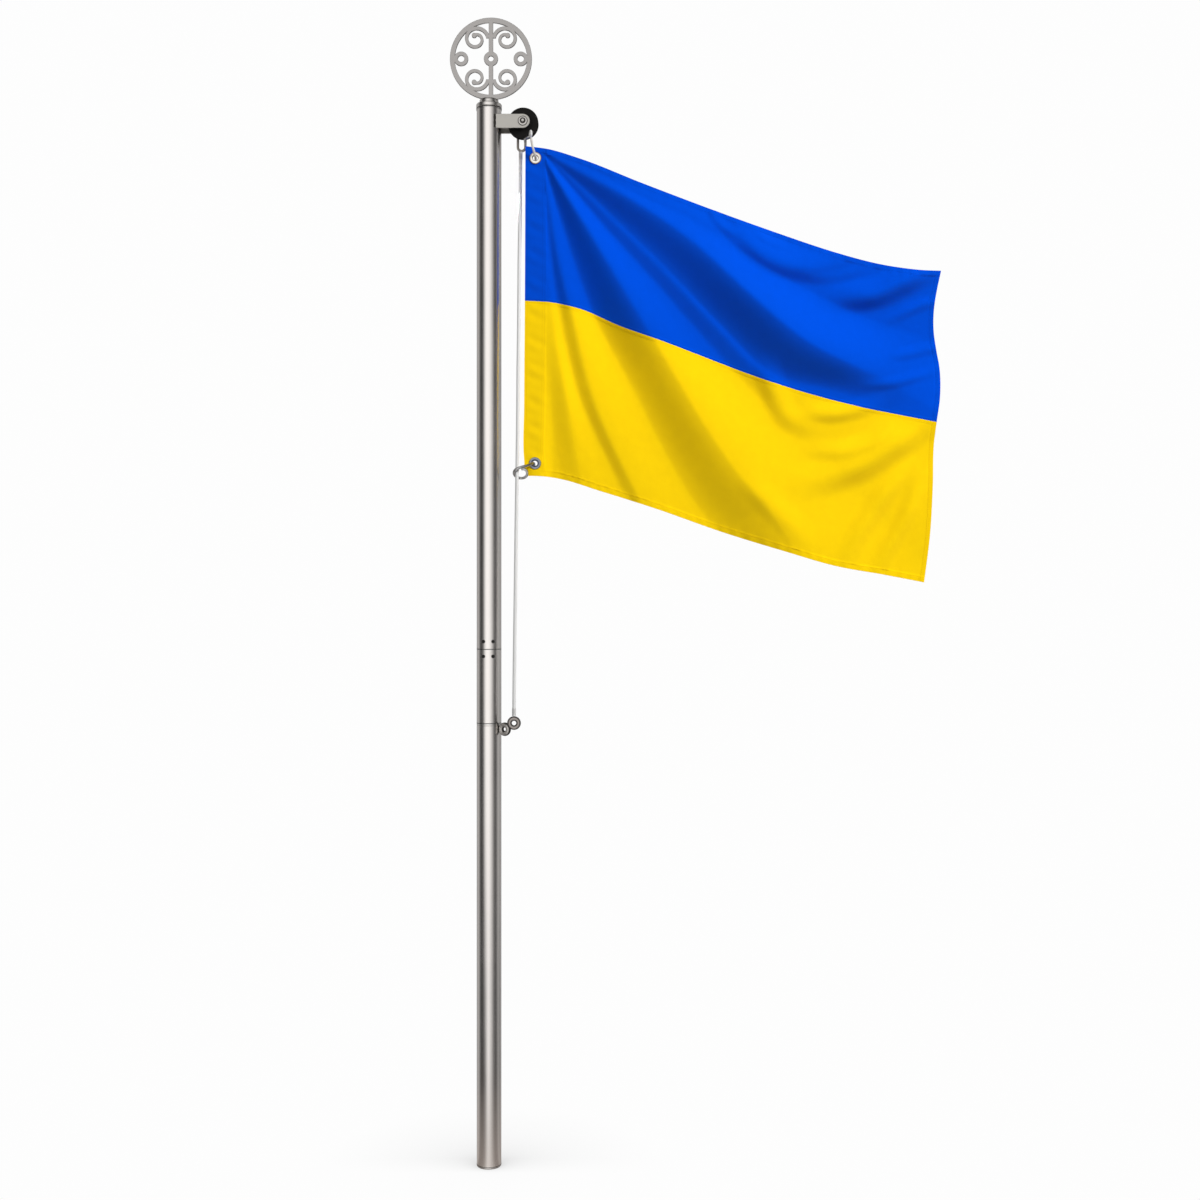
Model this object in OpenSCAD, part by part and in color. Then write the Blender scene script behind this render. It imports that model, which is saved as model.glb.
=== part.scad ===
// Flagpole with pulley, halyard, ring finial and a two-stripe flag.
// Units are millimetres. +Z is up, +X runs from the pole to the flag's fly end.
// The origin is the centre of the pole's bottom face.

/* [Pole] */
// Outer diameter of the steel tube
pole_d = 45; // [40:0.5:46]
// Wall of the steel tube
pole_wall = 1.5; // [1.2:0.1:2.5]
// Height of the top of the upper tube
pole_top = 1933; // [1925:1:1935]
// Height of the screwed joint between middle and upper tube
joint_z = 945; // [930:1:960]
// Height of the seam between lower and middle tube
seam_z = 810; // [806:1:812]
// Height of the polished band below that seam
seam_band_h = 5; // [3:0.5:8]
// Height of the rim of the base plug
plug_rim_h = 4; // [3:0.5:6]
// Length of each hidden sleeve inside the tubes
sleeve_len = 90; // [70:5:120]

/* [Finial] */
// Outer diameter of the finial ring
ring_d = 150; // [140:1:160]
// Width of the flat bar of the finial
bar_w = 9; // [7:0.5:10]
// Thickness of the finial plate
plate_t = 5; // [4:0.5:6]
// Sideways offset of the finial from the pole's axis
finial_x = 3.5; // [0:0.5:5]
// Height of the ring's centre
ring_z = 2024.5; // [2020:0.5:2030]
// Diameter of the neck under the ring
neck_d = 32; // [28:1:34]

/* [Pulley] */
// Distance of the axle from the pole's axis
axle_x = 62.5; // [60:0.5:66]
// Height of the axle
axle_z = 1905.8; // [1900:0.2:1910]
// Diameter of the axle
axle_d = 8; // [6:0.5:8]
// Outer diameter of the wheel
wheel_d = 56; // [50:1:58]
// Thickness of the wheel
wheel_t = 12; // [10:0.5:12]
// Height of the flat bar of each cheek
cheek_h = 25.5; // [24:0.5:28]
// Thickness of each cheek
cheek_t = 3; // [2.5:0.5:4]
// Distance from the pole's centre plane to the inner face of each cheek
cheek_gap = 15.5; // [15:0.1:16]

/* [Halyard] */
// Diameter of the halyard
cord_d = 6.4; // [5:0.2:6.4]
// Diameter of the wire of the becket link
link_wire_d = 4.2; // [3.5:0.1:4.2]
// Diameter of the wire of the flag's clips
clip_wire_d = 3; // [2.5:0.1:3.2]

/* [Flag] */
// Thickness of the cloth as a solid
cloth_t = 2.4; // [2:0.1:3]
// Depth of the folds on each side of the cloth's centre plane
fold_depth = 36; // [10:1:40]
// Outer diameter of the grommets
grommet_d = 22; // [20:0.5:24]
// Diameter of the hole of the grommets
grommet_hole_d = 11; // [10:0.5:11]

/* [Hidden] */

STEEL = [0.72, 0.71, 0.69];
DARK_STEEL = [0.45, 0.44, 0.43];
BLACK = [0.05, 0.05, 0.05];
CORD = [0.85, 0.85, 0.84];
BLUE = [0.0, 0.27, 0.82];
YELLOW = [0.99, 0.82, 0.05];
BRASS = [0.80, 0.72, 0.55];

$fn = 64;
pole_r = pole_d / 2;
bore_r = pole_r - pole_wall;
sleeve_r = bore_r - 0.2;
sleeve_wall = 2;

// Joint screws: two facing the front and two facing the back, in two rows
screw_d = 6.4;
screw_hole_d = 6.5;
screw_clear = 4;
screw_angles = [-112.5, -67.5, 67.5, 112.5];
screw_low_z = joint_z - 13;
screw_high_z = joint_z + 14;

// Finial
lip_d = pole_d + 1.6;
lip_h = 8;
neck_top = ring_z - ring_d / 2;
neck_base = pole_top + lip_h;
scroll_w = 7;
scroll_c = [27.5, 36];
scroll_r = 22.5;
scroll_shrink = 15;
scroll_start = 175;
scroll_turn = 470;
scroll_tip_d = 9;

// Pulley stack along the axle, front to back
wheel_gap = 0.5;
washer_t = 1.2;
washer_d = 20;
groove_r = 4.5;
link_y = cheek_gap - link_wire_d / 2 - 0.2;
link_bend_r = (axle_d + 0.6 + link_wire_d) / 2;
link_len = 40;
link_tilt = 6.7;
spacer_d = 13;
link_low = [axle_x - link_len * sin(link_tilt), link_y, axle_z - link_len * cos(link_tilt)];

// Halyard route from the becket link down to the tie ring
route = [[57, 12.8, 1846], [56.5, 11, 1800], [56, 8.3, 1730], [55, 5.2, 1650], [54.5, 1.3, 1550],
    [53.5, -2.2, 1460], [53, -5.7, 1370], [52, -9.2, 1280], [50.5, -13.6, 1165],
    [49.5, -17.3, 1070], [48.5, -20.8, 980], [47.5, -24.3, 890], [47.2, -26.4, 836]];
cord_sides = 10;
rings_per_leg = 5;
ferrule_d = cord_d + 1.4;
wire_sides = 12;
bend_steps = 4;

// Tie ring and the eye that is welded to the pole
tie_centre = [47.2, -26.8, 811.5];
tie_r = 8.8;
tie_wire_d = 8;
eye_angle = -30;
eye_r = 8.5;
eye_wire_d = 7.5;
eye_z = 799.5;
eye_reach = pole_r + eye_r + eye_wire_d / 2 - 0.2;

// Clips of the flag
top_eye = [77.3, -18, 1881];
top_eye_r = 5.6;
top_eye_turn = 65;
low_ring = [59.8, -9.9, 1265];
low_ring_r = 12.5;
low_loop_r = 7;
low_ring_tilt = 40;
clip_strap_d = 2.8;
strap_path = [[67.5, 15.2, 1868], [68.6, 11, 1866], [69, 0, 1867], [69, -10, 1870],
    [72, -15, 1871.5], [76, -17.4, 1872.6]];
top_hook_path = [[78.8, -18, 1872], [79.6, -15, 1866], [82.5, -10, 1854], [84, -5, 1848],
    [84.8, 1, 1845.5], [85.4, 5, 1843.5], [86, 7, 1839]];
low_hook_path = [[62.5, -20.6, 1276.3], [70, -15, 1278.5], [77.5, -9, 1281], [82.5, -4, 1283.8],
    [84, 0, 1285], [85, 4, 1284], [86.5, 6.5, 1281]];

// Grommet centres and the corners of the flag
grommet_top_c = [84.8, 0, 1843];
grommet_low_c = [84, 0, 1284.6];
hoist_x = 66;
header_w = 40;
hoist_top_z = 1865;
hoist_low_z = 1263;
fly_top_x = 827;
fly_low_x = 796;
stripe_split = 0.48;
top_edge = [[0, 1860], [0.14, 1827], [0.26, 1791], [0.39, 1760], [0.51, 1728], [0.64, 1692],
    [0.74, 1667], [0.83, 1650], [0.92, 1640], [1, 1637]];
low_edge = [[0, 1258], [0.09, 1247], [0.19, 1221], [0.3, 1199], [0.51, 1148], [0.72, 1105],
    [0.83, 1088], [1, 1067]];
// Folds of the cloth: how many there are down the cloth, how far they lean over its length,
// where the first one starts, how fast they open from the header and how they fade downwards
folds_down = 1.9;
folds_lean = 1.3;
folds_start = 0.25;
folds_open = 3;
folds_fade = 0.35;

// ---------- shared shapes ----------

// Ring of round wire that lies in the XY plane
module wire_ring(r, wire_d) {
    rotate_extrude($fn = 64) translate([r, 0]) circle(d = wire_d, $fn = 32);
}

// Point at t of the smooth curve through b and c
function curve_point(a, b, c, d, t) =
    0.5 * (2 * b + (c - a) * t + (2 * a - 5 * b + 4 * c - d) * t * t
        + (3 * b - a - 3 * c + d) * t * t * t);

// Smooth path with n steps between each two points of p
function smooth_path(p, n) = [
    for (i = [0 : len(p) - 2])
        for (k = [0 : n - 1])
            curve_point(p[max(i - 1, 0)], p[i], p[i + 1], p[min(i + 2, len(p) - 1)], k / n),
    p[len(p) - 1]];

// Direction of a path at its point i
function heading(p, i) =
    let (run = p[min(i + 1, len(p) - 1)] - p[max(i - 1, 0)]) run / norm(run);

// Round wire swept along a path; aside is a direction that the path never takes
module swept_wire(path, d, sides, aside) {
    last = len(path) - 1;
    points = [for (i = [0 : last])
        let (run = heading(path, i), u = cross(aside, run) / norm(cross(aside, run)), w = cross(run, u))
        for (k = [0 : sides - 1])
            path[i] + d / 2 * (u * cos(360 * k / sides) + w * sin(360 * k / sides))];
    skin = [for (i = [0 : last - 1]) for (k = [0 : sides - 1])
        let (k2 = (k + 1) % sides, a = i * sides, b = a + sides)
        each [[a + k, b + k2, a + k2], [a + k, b + k, b + k2]]];
    start = [for (k = [0 : sides - 1]) k];
    end = [for (k = [sides - 1 : -1 : 0]) last * sides + k];
    polyhedron(points, concat([start, end], skin));
}

// Tube that stands on the pole's axis
module tube(r_out, r_in, z_low, z_high) {
    translate([0, 0, z_low]) difference() {
        cylinder(r = r_out, h = z_high - z_low, $fn = 96);
        translate([0, 0, -1]) cylinder(r = r_in, h = z_high - z_low + 2, $fn = 96);
    }
}

// Radial plugs for the joint screws, from radius r_low to r_high
module screw_row(z, d, r_low, r_high) {
    for (a = screw_angles)
        rotate([0, 0, a]) translate([r_low, 0, z])
            rotate([0, 90, 0]) cylinder(d = d, h = r_high - r_low, $fn = 32);
}

// Disc or washer on the axle, between two places along Y
module on_axle(d_out, d_in, y_low, y_high) {
    translate([axle_x, y_high, axle_z]) rotate([90, 0, 0]) difference() {
        cylinder(d = d_out, h = y_high - y_low);
        translate([0, 0, -1]) cylinder(d = d_in, h = y_high - y_low + 2);
    }
}

// ---------- pole ----------

module base_plug() {
    spigot_h = 26;
    edge = 1.4;
    color(DARK_STEEL) rotate_extrude($fn = 96) polygon([
        [0, 0], [pole_r - edge, 0], [pole_r - 0.2, edge], [pole_r - 0.2, plug_rim_h],
        [bore_r - 0.2, plug_rim_h], [bore_r - 0.2, spigot_h], [0, spigot_h]]);
}

module lower_tube() {
    color(STEEL) tube(pole_r, bore_r, plug_rim_h, seam_z - seam_band_h);
}

module seam_band() {
    groove = 0.5;
    color(STEEL) rotate_extrude($fn = 96) polygon([
        [bore_r, seam_z - seam_band_h], [pole_r - groove, seam_z - seam_band_h],
        [pole_r - groove, seam_z - seam_band_h + groove], [pole_r, seam_z - seam_band_h + 2 * groove],
        [pole_r, seam_z - 2 * groove], [pole_r - groove, seam_z - groove],
        [pole_r - groove, seam_z], [bore_r, seam_z]]);
}

module lower_sleeve() {
    color(DARK_STEEL)
        tube(sleeve_r, sleeve_r - sleeve_wall, seam_z - sleeve_len / 2, seam_z + sleeve_len / 2);
}

module middle_tube() {
    color(STEEL) difference() {
        tube(pole_r, bore_r, seam_z, joint_z);
        screw_row(screw_low_z, screw_hole_d, bore_r - screw_clear, pole_r + screw_clear);
    }
}

module upper_sleeve() {
    color(DARK_STEEL) difference() {
        tube(sleeve_r, sleeve_r - sleeve_wall, joint_z - sleeve_len / 2, joint_z + sleeve_len / 2);
        for (z = [screw_low_z, screw_high_z])
            screw_row(z, screw_hole_d, sleeve_r - sleeve_wall - screw_clear, pole_r + screw_clear);
    }
}

// Button-headed screw that fills its hole and stands a little proud
module joint_screws(z) {
    proud = 0.8;
    socket_d = 3;
    socket_floor_r = pole_r - 0.6;
    color(DARK_STEEL) difference() {
        screw_row(z, screw_d, sleeve_r - sleeve_wall, pole_r + proud);
        screw_row(z, socket_d, socket_floor_r, pole_r + screw_clear);
    }
}

module joint_screws_low() {
    joint_screws(screw_low_z);
}

module joint_screws_high() {
    joint_screws(screw_high_z);
}

module upper_tube() {
    color(STEEL) difference() {
        tube(pole_r, bore_r, joint_z, pole_top);
        screw_row(screw_high_z, screw_hole_d, bore_r - screw_clear, pole_r + screw_clear);
    }
}

// ---------- top collar and finial ----------

module top_collar() {
    lip_r = lip_d / 2;
    round_r = 2;
    spigot_h = 20;
    color(STEEL) rotate_extrude($fn = 96) difference() {
        union() {
            translate([0, pole_top]) square([lip_r - round_r, lip_h]);
            translate([0, pole_top + round_r]) square([lip_r, lip_h - 2 * round_r]);
            translate([lip_r - round_r, pole_top + round_r]) circle(r = round_r, $fn = 32);
            translate([lip_r - round_r, pole_top + lip_h - round_r]) circle(r = round_r, $fn = 32);
            translate([0, pole_top - spigot_h]) square([bore_r - 0.2, spigot_h + 1]);
        }
        translate([-lip_d, pole_top - spigot_h - 1]) square([lip_d, spigot_h + lip_h + 2]);
    }
}

module finial_neck() {
    color(STEEL) translate([0, 0, neck_base])
        cylinder(d1 = neck_d, d2 = neck_d - 2, h = neck_top - neck_base, $fn = 64);
}

// Flat outline in the XZ plane turned into a plate centred on Y = 0
module plate(t) {
    rotate([90, 0, 0]) translate([0, 0, -t / 2]) linear_extrude(t) children();
}

// Half width of a scroll's bar at t from its start to its tip
function scroll_half(t) = (scroll_w - 2 * t) / 2;

// Point of a scroll at t, moved outwards by out: the radius shrinks evenly along the curl
function scroll_point(t, out) =
    let (a = scroll_start - scroll_turn * t, r = scroll_r - scroll_shrink * t + out)
    scroll_c + r * [cos(a), sin(a)];

// Outline of one scroll, from the stem round against the ring to its tip
module scroll() {
    steps = 40;
    outer = [for (i = [0 : steps]) scroll_point(i / steps, scroll_half(i / steps))];
    inner = [for (i = [steps : -1 : 0]) scroll_point(i / steps, -scroll_half(i / steps))];
    polygon(concat(outer, inner));
}

// Flat ring or disc of the finial, at x sideways from the ring's centre
module finial_disc(x, r_out, r_in) {
    translate([x, 0, 0]) plate(plate_t) difference() {
        circle(r = r_out, $fn = 96);
        circle(r = r_in, $fn = 96);
    }
}

// One plate: the ring, a straight stem with a pierced boss, a bead on each side and four scrolls
module finial_plate() {
    foot_w = 20;
    stem_w = 8;
    boss_r = 13;
    boss_hole_r = 5;
    bead_r = 9.5;
    ring_r = ring_d / 2;
    inner_r = ring_r - bar_w;
    bead_x = inner_r - bead_r - 2;
    color(STEEL) translate([finial_x, 0, ring_z]) union() {
        finial_disc(0, ring_r, inner_r);
        finial_disc(0, boss_r, boss_hole_r);
        for (s = [-1, 1]) {
            finial_disc(s * bead_x, bead_r + scroll_w / 2, bead_r - scroll_w / 2);
            plate(plate_t) translate([-stem_w / 2, s > 0 ? boss_hole_r + 2 : -inner_r - 2])
                square([stem_w, inner_r - boss_hole_r]);
        }
        plate(plate_t) translate([-foot_w / 2, -ring_r]) square([foot_w, bar_w - 1]);
        for (sx = [0, 1]) for (sz = [0, 1])
            mirror([sx, 0, 0]) mirror([0, 0, sz]) {
                plate(plate_t) scroll();
                plate(plate_t) translate(scroll_point(1, 0)) circle(d = scroll_tip_d, $fn = 32);
            }
    }
}

// ---------- pulley ----------

// Flat bar from the pole's side to the axle, with a round end
module cheek(y_low) {
    color(STEEL) difference() {
        translate([0, y_low + cheek_t, 0]) rotate([90, 0, 0]) linear_extrude(cheek_t) union() {
            translate([0, axle_z - cheek_h / 2]) square([axle_x, cheek_h]);
            translate([axle_x, axle_z]) circle(d = cheek_h, $fn = 64);
        }
        translate([0, 0, axle_z - cheek_h]) cylinder(r = pole_r, h = 2 * cheek_h, $fn = 96);
        on_axle(axle_d + 0.2, 0, y_low - 1, y_low + cheek_t + 1);
    }
}

module cheek_front() {
    cheek(-cheek_gap - cheek_t);
}

module cheek_rear() {
    cheek(cheek_gap);
}

module axle_bolt() {
    head_d = 16;
    head_h = 4;
    socket_d = 6;
    outer = cheek_gap + cheek_t + washer_t;
    tail = 6;
    color(STEEL) translate([axle_x, 0, axle_z]) rotate([90, 0, 0]) difference() {
        union() {
            translate([0, 0, -outer - tail]) cylinder(d = axle_d, h = 2 * outer + tail);
            translate([0, 0, outer]) cylinder(d1 = head_d, d2 = head_d - 4, h = head_h);
        }
        translate([0, 0, outer + 1]) cylinder(d = socket_d, h = head_h, $fn = 6);
    }
}

module axle_nut() {
    nut_d = 15;
    nut_h = 5;
    outer = cheek_gap + cheek_t + washer_t;
    color(STEEL) translate([axle_x, outer + nut_h, axle_z]) rotate([90, 0, 0]) difference() {
        cylinder(d = nut_d, h = nut_h, $fn = 6);
        translate([0, 0, -1]) cylinder(d = axle_d + 0.1, h = nut_h + 2);
    }
}

module washer_front() {
    color(STEEL) on_axle(washer_d, axle_d + 0.2, -cheek_gap - cheek_t - washer_t, -cheek_gap - cheek_t);
}

module washer_rear() {
    color(STEEL) on_axle(washer_d, axle_d + 0.2, cheek_gap + cheek_t, cheek_gap + cheek_t + washer_t);
}

module spacer_front() {
    color(STEEL) on_axle(spacer_d, axle_d + 0.2, -cheek_gap, -wheel_t / 2 - wheel_gap);
}

module spacer_rear() {
    color(STEEL) on_axle(spacer_d, axle_d + 0.2, wheel_t / 2 + wheel_gap, link_y - link_wire_d / 2);
}

module pulley_wheel() {
    rim = 1;
    bore_clearance = 0.16;
    hub_r = 8;
    recess_r = 17;
    recess_depth = 0.8;
    color(BLACK) translate([axle_x, 0, axle_z]) rotate([90, 0, 0]) rotate_extrude($fn = 96)
        difference() {
            translate([(axle_d + bore_clearance) / 2, -wheel_t / 2])
                square([(wheel_d - axle_d - bore_clearance) / 2, wheel_t]);
            translate([wheel_d / 2 + rim, 0]) circle(r = groove_r, $fn = 48);
            for (s = [-1, 1])
                translate([hub_r, s * wheel_t / 2 - recess_depth])
                    square([recess_r - hub_r, 2 * recess_depth]);
        }
}

module becket_link() {
    color(DARK_STEEL) translate([axle_x, link_y, axle_z]) rotate([0, link_tilt, 0]) {
        rotate([90, 0, 0]) rotate_extrude(angle = 180, $fn = 64)
            translate([link_bend_r, 0]) circle(d = link_wire_d, $fn = 32);
        translate([0, 0, -link_len]) rotate([-90, 0, 0]) rotate_extrude(angle = 180, $fn = 64)
            translate([link_bend_r, 0]) circle(d = link_wire_d, $fn = 32);
        for (s = [-1, 1]) translate([s * link_bend_r, 0, -link_len])
            cylinder(d = link_wire_d, h = link_len, $fn = 32);
    }
}

// ---------- halyard ----------

module halyard() {
    color(CORD) swept_wire(smooth_path(route, rings_per_leg), cord_d, cord_sides, [1, 0, 0]);
}

module ferrule_top() {
    top_z = link_low[2] - link_bend_r - link_wire_d / 2;
    first = route[0];
    color(CORD) translate([first[0], first[1], first[2]])
        cylinder(d1 = ferrule_d, d2 = ferrule_d - 1, h = top_z - first[2], $fn = 48);
}

module ferrule_bottom() {
    end = route[len(route) - 1];
    low_z = tie_centre[2] + tie_r + tie_wire_d / 2;
    color(CORD) translate([end[0], end[1], low_z])
        cylinder(d1 = ferrule_d - 1, d2 = ferrule_d, h = end[2] - low_z, $fn = 48);
}

module tie_ring() {
    color(DARK_STEEL) translate(tie_centre) rotate([90, 0, 0]) wire_ring(tie_r, tie_wire_d);
}

module eye_ring() {
    color(DARK_STEEL) rotate([0, 0, eye_angle]) translate([eye_reach, 0, eye_z])
        rotate([90, 0, 0]) wire_ring(eye_r, eye_wire_d);
}

// ---------- clips ----------

module top_clip_strap() {
    color(STEEL) swept_wire(smooth_path(strap_path, bend_steps), clip_strap_d, wire_sides, [0, 0, 1]);
}

module top_clip_eye() {
    color(STEEL) translate(top_eye) rotate([0, 0, top_eye_turn]) rotate([90, 0, 0])
        wire_ring(top_eye_r, clip_wire_d + 0.2);
}

module top_clip_hook() {
    color(BRASS) swept_wire(smooth_path(top_hook_path, bend_steps), clip_wire_d, wire_sides,
        [1, 0, 0]);
}

module low_clip_rings() {
    color(DARK_STEEL) translate(low_ring) rotate([90 - low_ring_tilt, 0, 0]) {
        wire_ring(low_ring_r, clip_wire_d);
        translate([low_ring_r - low_loop_r - 1, 0, 0]) wire_ring(low_loop_r, clip_wire_d);
    }
}

module low_clip_hook() {
    color(DARK_STEEL) swept_wire(smooth_path(low_hook_path, bend_steps), clip_wire_d, wire_sides,
        [0, 0, 1]);
}

module grommet(c) {
    flange_t = 1.1;
    barrel_r = grommet_hole_d / 2 + 0.4;
    half = cloth_t / 2;
    translate(c) rotate([90, 0, 0]) rotate_extrude($fn = 64) {
        translate([grommet_hole_d / 2, -half - flange_t])
            square([barrel_r - grommet_hole_d / 2, cloth_t + 2 * flange_t]);
        for (y = [-half - flange_t, half])
            translate([grommet_hole_d / 2, y]) square([(grommet_d - grommet_hole_d) / 2, flange_t]);
    }
}

module grommet_top() {
    color(BRASS) grommet(grommet_top_c);
}

module grommet_low() {
    color(STEEL) grommet(grommet_low_c);
}

// ---------- flag ----------

module flag_header() {
    seam_x = hoist_x + header_w;
    color(BLUE) translate([0, cloth_t / 2, 0]) rotate([90, 0, 0]) linear_extrude(cloth_t)
        difference() {
            polygon([[hoist_x, hoist_low_z], [seam_x, low_edge[0][1]], [seam_x, top_edge[0][1]],
                [hoist_x, hoist_top_z]]);
            for (c = [grommet_top_c, grommet_low_c])
                translate([c[0], c[2]]) circle(d = grommet_hole_d + 1, $fn = 48);
        }
}

// Place of the cloth at u from the header seam to the fly, v from the top edge to the low edge
function cloth_point(u, v, side) =
    let (x_seam = hoist_x + header_w,
        x = x_seam + u * ((fly_top_x - x_seam) * (1 - v) + (fly_low_x - x_seam) * v),
        z = lookup(u, top_edge) * (1 - v) + lookup(u, low_edge) * v,
        depth = (fold_depth - cloth_t / 2) * min(1, folds_open * u) * (1 - folds_fade * v),
        y = depth * sin(360 * (folds_down * v - folds_lean * u + folds_start)))
    [x, y + side * cloth_t / 2, z];

// Thin closed solid of a part of the cloth, from v0 to v1
module cloth_panel(v0, v1) {
    nu = 36;
    nv = 8;
    across = nv + 1;
    sheet = (nu + 1) * across;
    points = [for (side = [-1, 1]) for (i = [0 : nu]) for (j = [0 : nv])
        cloth_point(i / nu, v0 + (v1 - v0) * j / nv, side)];
    front = [for (i = [0 : nu - 1]) for (j = [0 : nv - 1])
        let (a = i * across + j, b = a + across)
        each [[a, a + 1, b + 1], [a, b + 1, b]]];
    back = [for (f = front) [f[2] + sheet, f[1] + sheet, f[0] + sheet]];
    rim = concat(
        [for (i = [0 : nu]) i * across + nv],
        [for (j = [nv - 1 : -1 : 0]) nu * across + j],
        [for (i = [nu - 1 : -1 : 0]) i * across],
        [for (j = [1 : nv - 1]) j]);
    edge = [for (k = [0 : len(rim) - 1])
        let (a = rim[k], b = rim[(k + 1) % len(rim)])
        each [[b, a, a + sheet], [b, a + sheet, b + sheet]]];
    polyhedron(points, concat(front, back, edge));
}

module flag_blue() {
    color(BLUE) cloth_panel(0, stripe_split);
}

module flag_yellow() {
    color(YELLOW) cloth_panel(stripe_split, 1);
}

base_plug();
lower_tube();
seam_band();
lower_sleeve();
middle_tube();
upper_sleeve();
joint_screws_low();
joint_screws_high();
upper_tube();
top_collar();
finial_neck();
finial_plate();
cheek_front();
cheek_rear();
axle_bolt();
axle_nut();
washer_front();
washer_rear();
spacer_front();
spacer_rear();
pulley_wheel();
becket_link();
halyard();
ferrule_top();
ferrule_bottom();
tie_ring();
eye_ring();
top_clip_strap();
top_clip_eye();
top_clip_hook();
low_clip_rings();
low_clip_hook();
grommet_top();
grommet_low();
flag_header();
flag_blue();
flag_yellow();
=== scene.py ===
# %% [markdown]
# # A flagpole with a two-stripe flag
# The object is a slim stainless-steel pole with a ring finial, a pulley on a side bracket, a rope
# and a flag that hangs in diagonal folds from its top corner. The hard parts come ready-made as the
# frame. This lesson dresses them, and makes the soft parts: the rope and the cloth.
# Loading the frame first gives every place and size that the later steps need.

# %% Load the frame
import math
import bpy
import bmesh
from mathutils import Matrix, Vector


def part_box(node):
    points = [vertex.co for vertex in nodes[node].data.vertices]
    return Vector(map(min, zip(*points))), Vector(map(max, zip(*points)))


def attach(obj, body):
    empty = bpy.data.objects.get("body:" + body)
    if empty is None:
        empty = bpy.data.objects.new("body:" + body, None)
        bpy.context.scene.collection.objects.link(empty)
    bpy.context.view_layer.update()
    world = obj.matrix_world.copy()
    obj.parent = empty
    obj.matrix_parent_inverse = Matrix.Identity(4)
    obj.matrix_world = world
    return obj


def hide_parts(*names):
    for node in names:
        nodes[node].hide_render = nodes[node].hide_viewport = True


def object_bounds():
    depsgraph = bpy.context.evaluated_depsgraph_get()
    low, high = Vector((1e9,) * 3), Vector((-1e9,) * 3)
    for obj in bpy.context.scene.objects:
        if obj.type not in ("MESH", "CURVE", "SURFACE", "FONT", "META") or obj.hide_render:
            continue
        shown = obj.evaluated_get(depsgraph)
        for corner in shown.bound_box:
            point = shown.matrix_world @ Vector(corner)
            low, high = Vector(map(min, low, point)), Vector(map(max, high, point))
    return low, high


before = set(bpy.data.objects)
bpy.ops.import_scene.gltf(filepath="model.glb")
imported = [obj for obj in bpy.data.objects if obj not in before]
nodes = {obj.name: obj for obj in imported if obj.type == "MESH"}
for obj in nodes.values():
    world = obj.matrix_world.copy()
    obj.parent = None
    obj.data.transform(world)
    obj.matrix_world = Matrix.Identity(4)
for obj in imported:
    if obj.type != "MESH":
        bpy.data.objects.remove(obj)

MM = 0.001
cad_low, cad_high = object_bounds()
pole_low, pole_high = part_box("upper_tube")
pole_r = (pole_high[0] - pole_low[0]) / 2
print("frame:", len(nodes), "nodes, height", round(cad_high.z, 3), "m, tube radius", round(pole_r, 4))

# %% [markdown]
# ## The camera
# A tall thin object is best seen from half its height with a level camera, so that its verticals
# stay parallel. A lens a little shorter than a portrait lens stands a few steps away. The pole is
# left of the middle, because the cloth fills the right side, and the middle of the view lies
# between them.

# %% Camera
eye_height = 1.0345
eye_distance = 2.745
eye_x = 0.203

camera_data = bpy.data.cameras.new("camera")
camera_data.lens = 45
camera_data.sensor_width = 36
camera = bpy.data.objects.new("camera", camera_data)
camera.location = (eye_x, -eye_distance, eye_height)
camera.rotation_euler = (math.radians(90), 0, 0)
bpy.context.scene.collection.objects.link(camera)
bpy.context.scene.camera = camera
print("camera:", tuple(round(c, 3) for c in camera.location), "lens", camera_data.lens)

# %% [markdown]
# ## Small helpers for pieces
# Every piece ends in the same way: it is linked, it rides on a body of the frame and it takes its
# finish from a material slot. Blender's operators act on all that is selected, so a piece made with
# them starts from an empty selection.

# %% Helpers
def deselect_all():
    if bpy.context.object and bpy.context.object.mode != "OBJECT":
        bpy.ops.object.mode_set(mode="OBJECT")
    bpy.ops.object.select_all(action="DESELECT")


def mesh_piece(name, points, faces):
    mesh = bpy.data.meshes.new(name)
    mesh.from_pydata(points, [], faces)
    mesh.update()
    piece = bpy.data.objects.new(name, mesh)
    bpy.context.scene.collection.objects.link(piece)
    return piece


def settle(piece, body="pole"):
    """Puts the piece's place into its mesh and lets it ride on a body."""
    deselect_all()
    piece.select_set(True)
    bpy.context.view_layer.objects.active = piece
    bpy.ops.object.transform_apply(location=True, rotation=True, scale=True)
    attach(piece, body)
    print(piece.name, len(piece.data.polygons), "faces")


def smooth(piece, angle=40):
    deselect_all()
    piece.select_set(True)
    bpy.context.view_layer.objects.active = piece
    bpy.ops.object.shade_smooth_by_angle(angle=math.radians(angle))


def face_outwards(piece):
    shape = bmesh.new()
    shape.from_mesh(piece.data)
    bmesh.ops.recalc_face_normals(shape, faces=shape.faces)
    shape.to_mesh(piece.data)
    shape.free()

# %% [markdown]
# ## The rope
# The halyard is a braided rope, a good 6 mm thick. It leaves the link behind the pulley, comes
# forward as it goes down, and ends at the tie ring in front of the lower pole. It is held at both
# ends, so it is nearly straight. A rope is a round tube swept along its route. Its UV map runs
# round the rope and along it, so that the braid can follow it. The centre line goes through a few
# given points, joined by a smooth curve that passes through each of them.

# %% Rope route
rope_d = 6.4 * MM
rope_route = [Vector(p) * MM for p in [
    (57, 12.8, 1846), (56.5, 11, 1800), (56, 8.3, 1730), (55, 5.2, 1650), (54.5, 1.3, 1550),
    (53.5, -2.2, 1460), (53, -5.7, 1370), (52, -9.2, 1280), (50.5, -13.6, 1165),
    (49.5, -17.3, 1070), (48.5, -20.8, 980), (47.5, -24.3, 890), (47.2, -26.4, 836)]]


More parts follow.
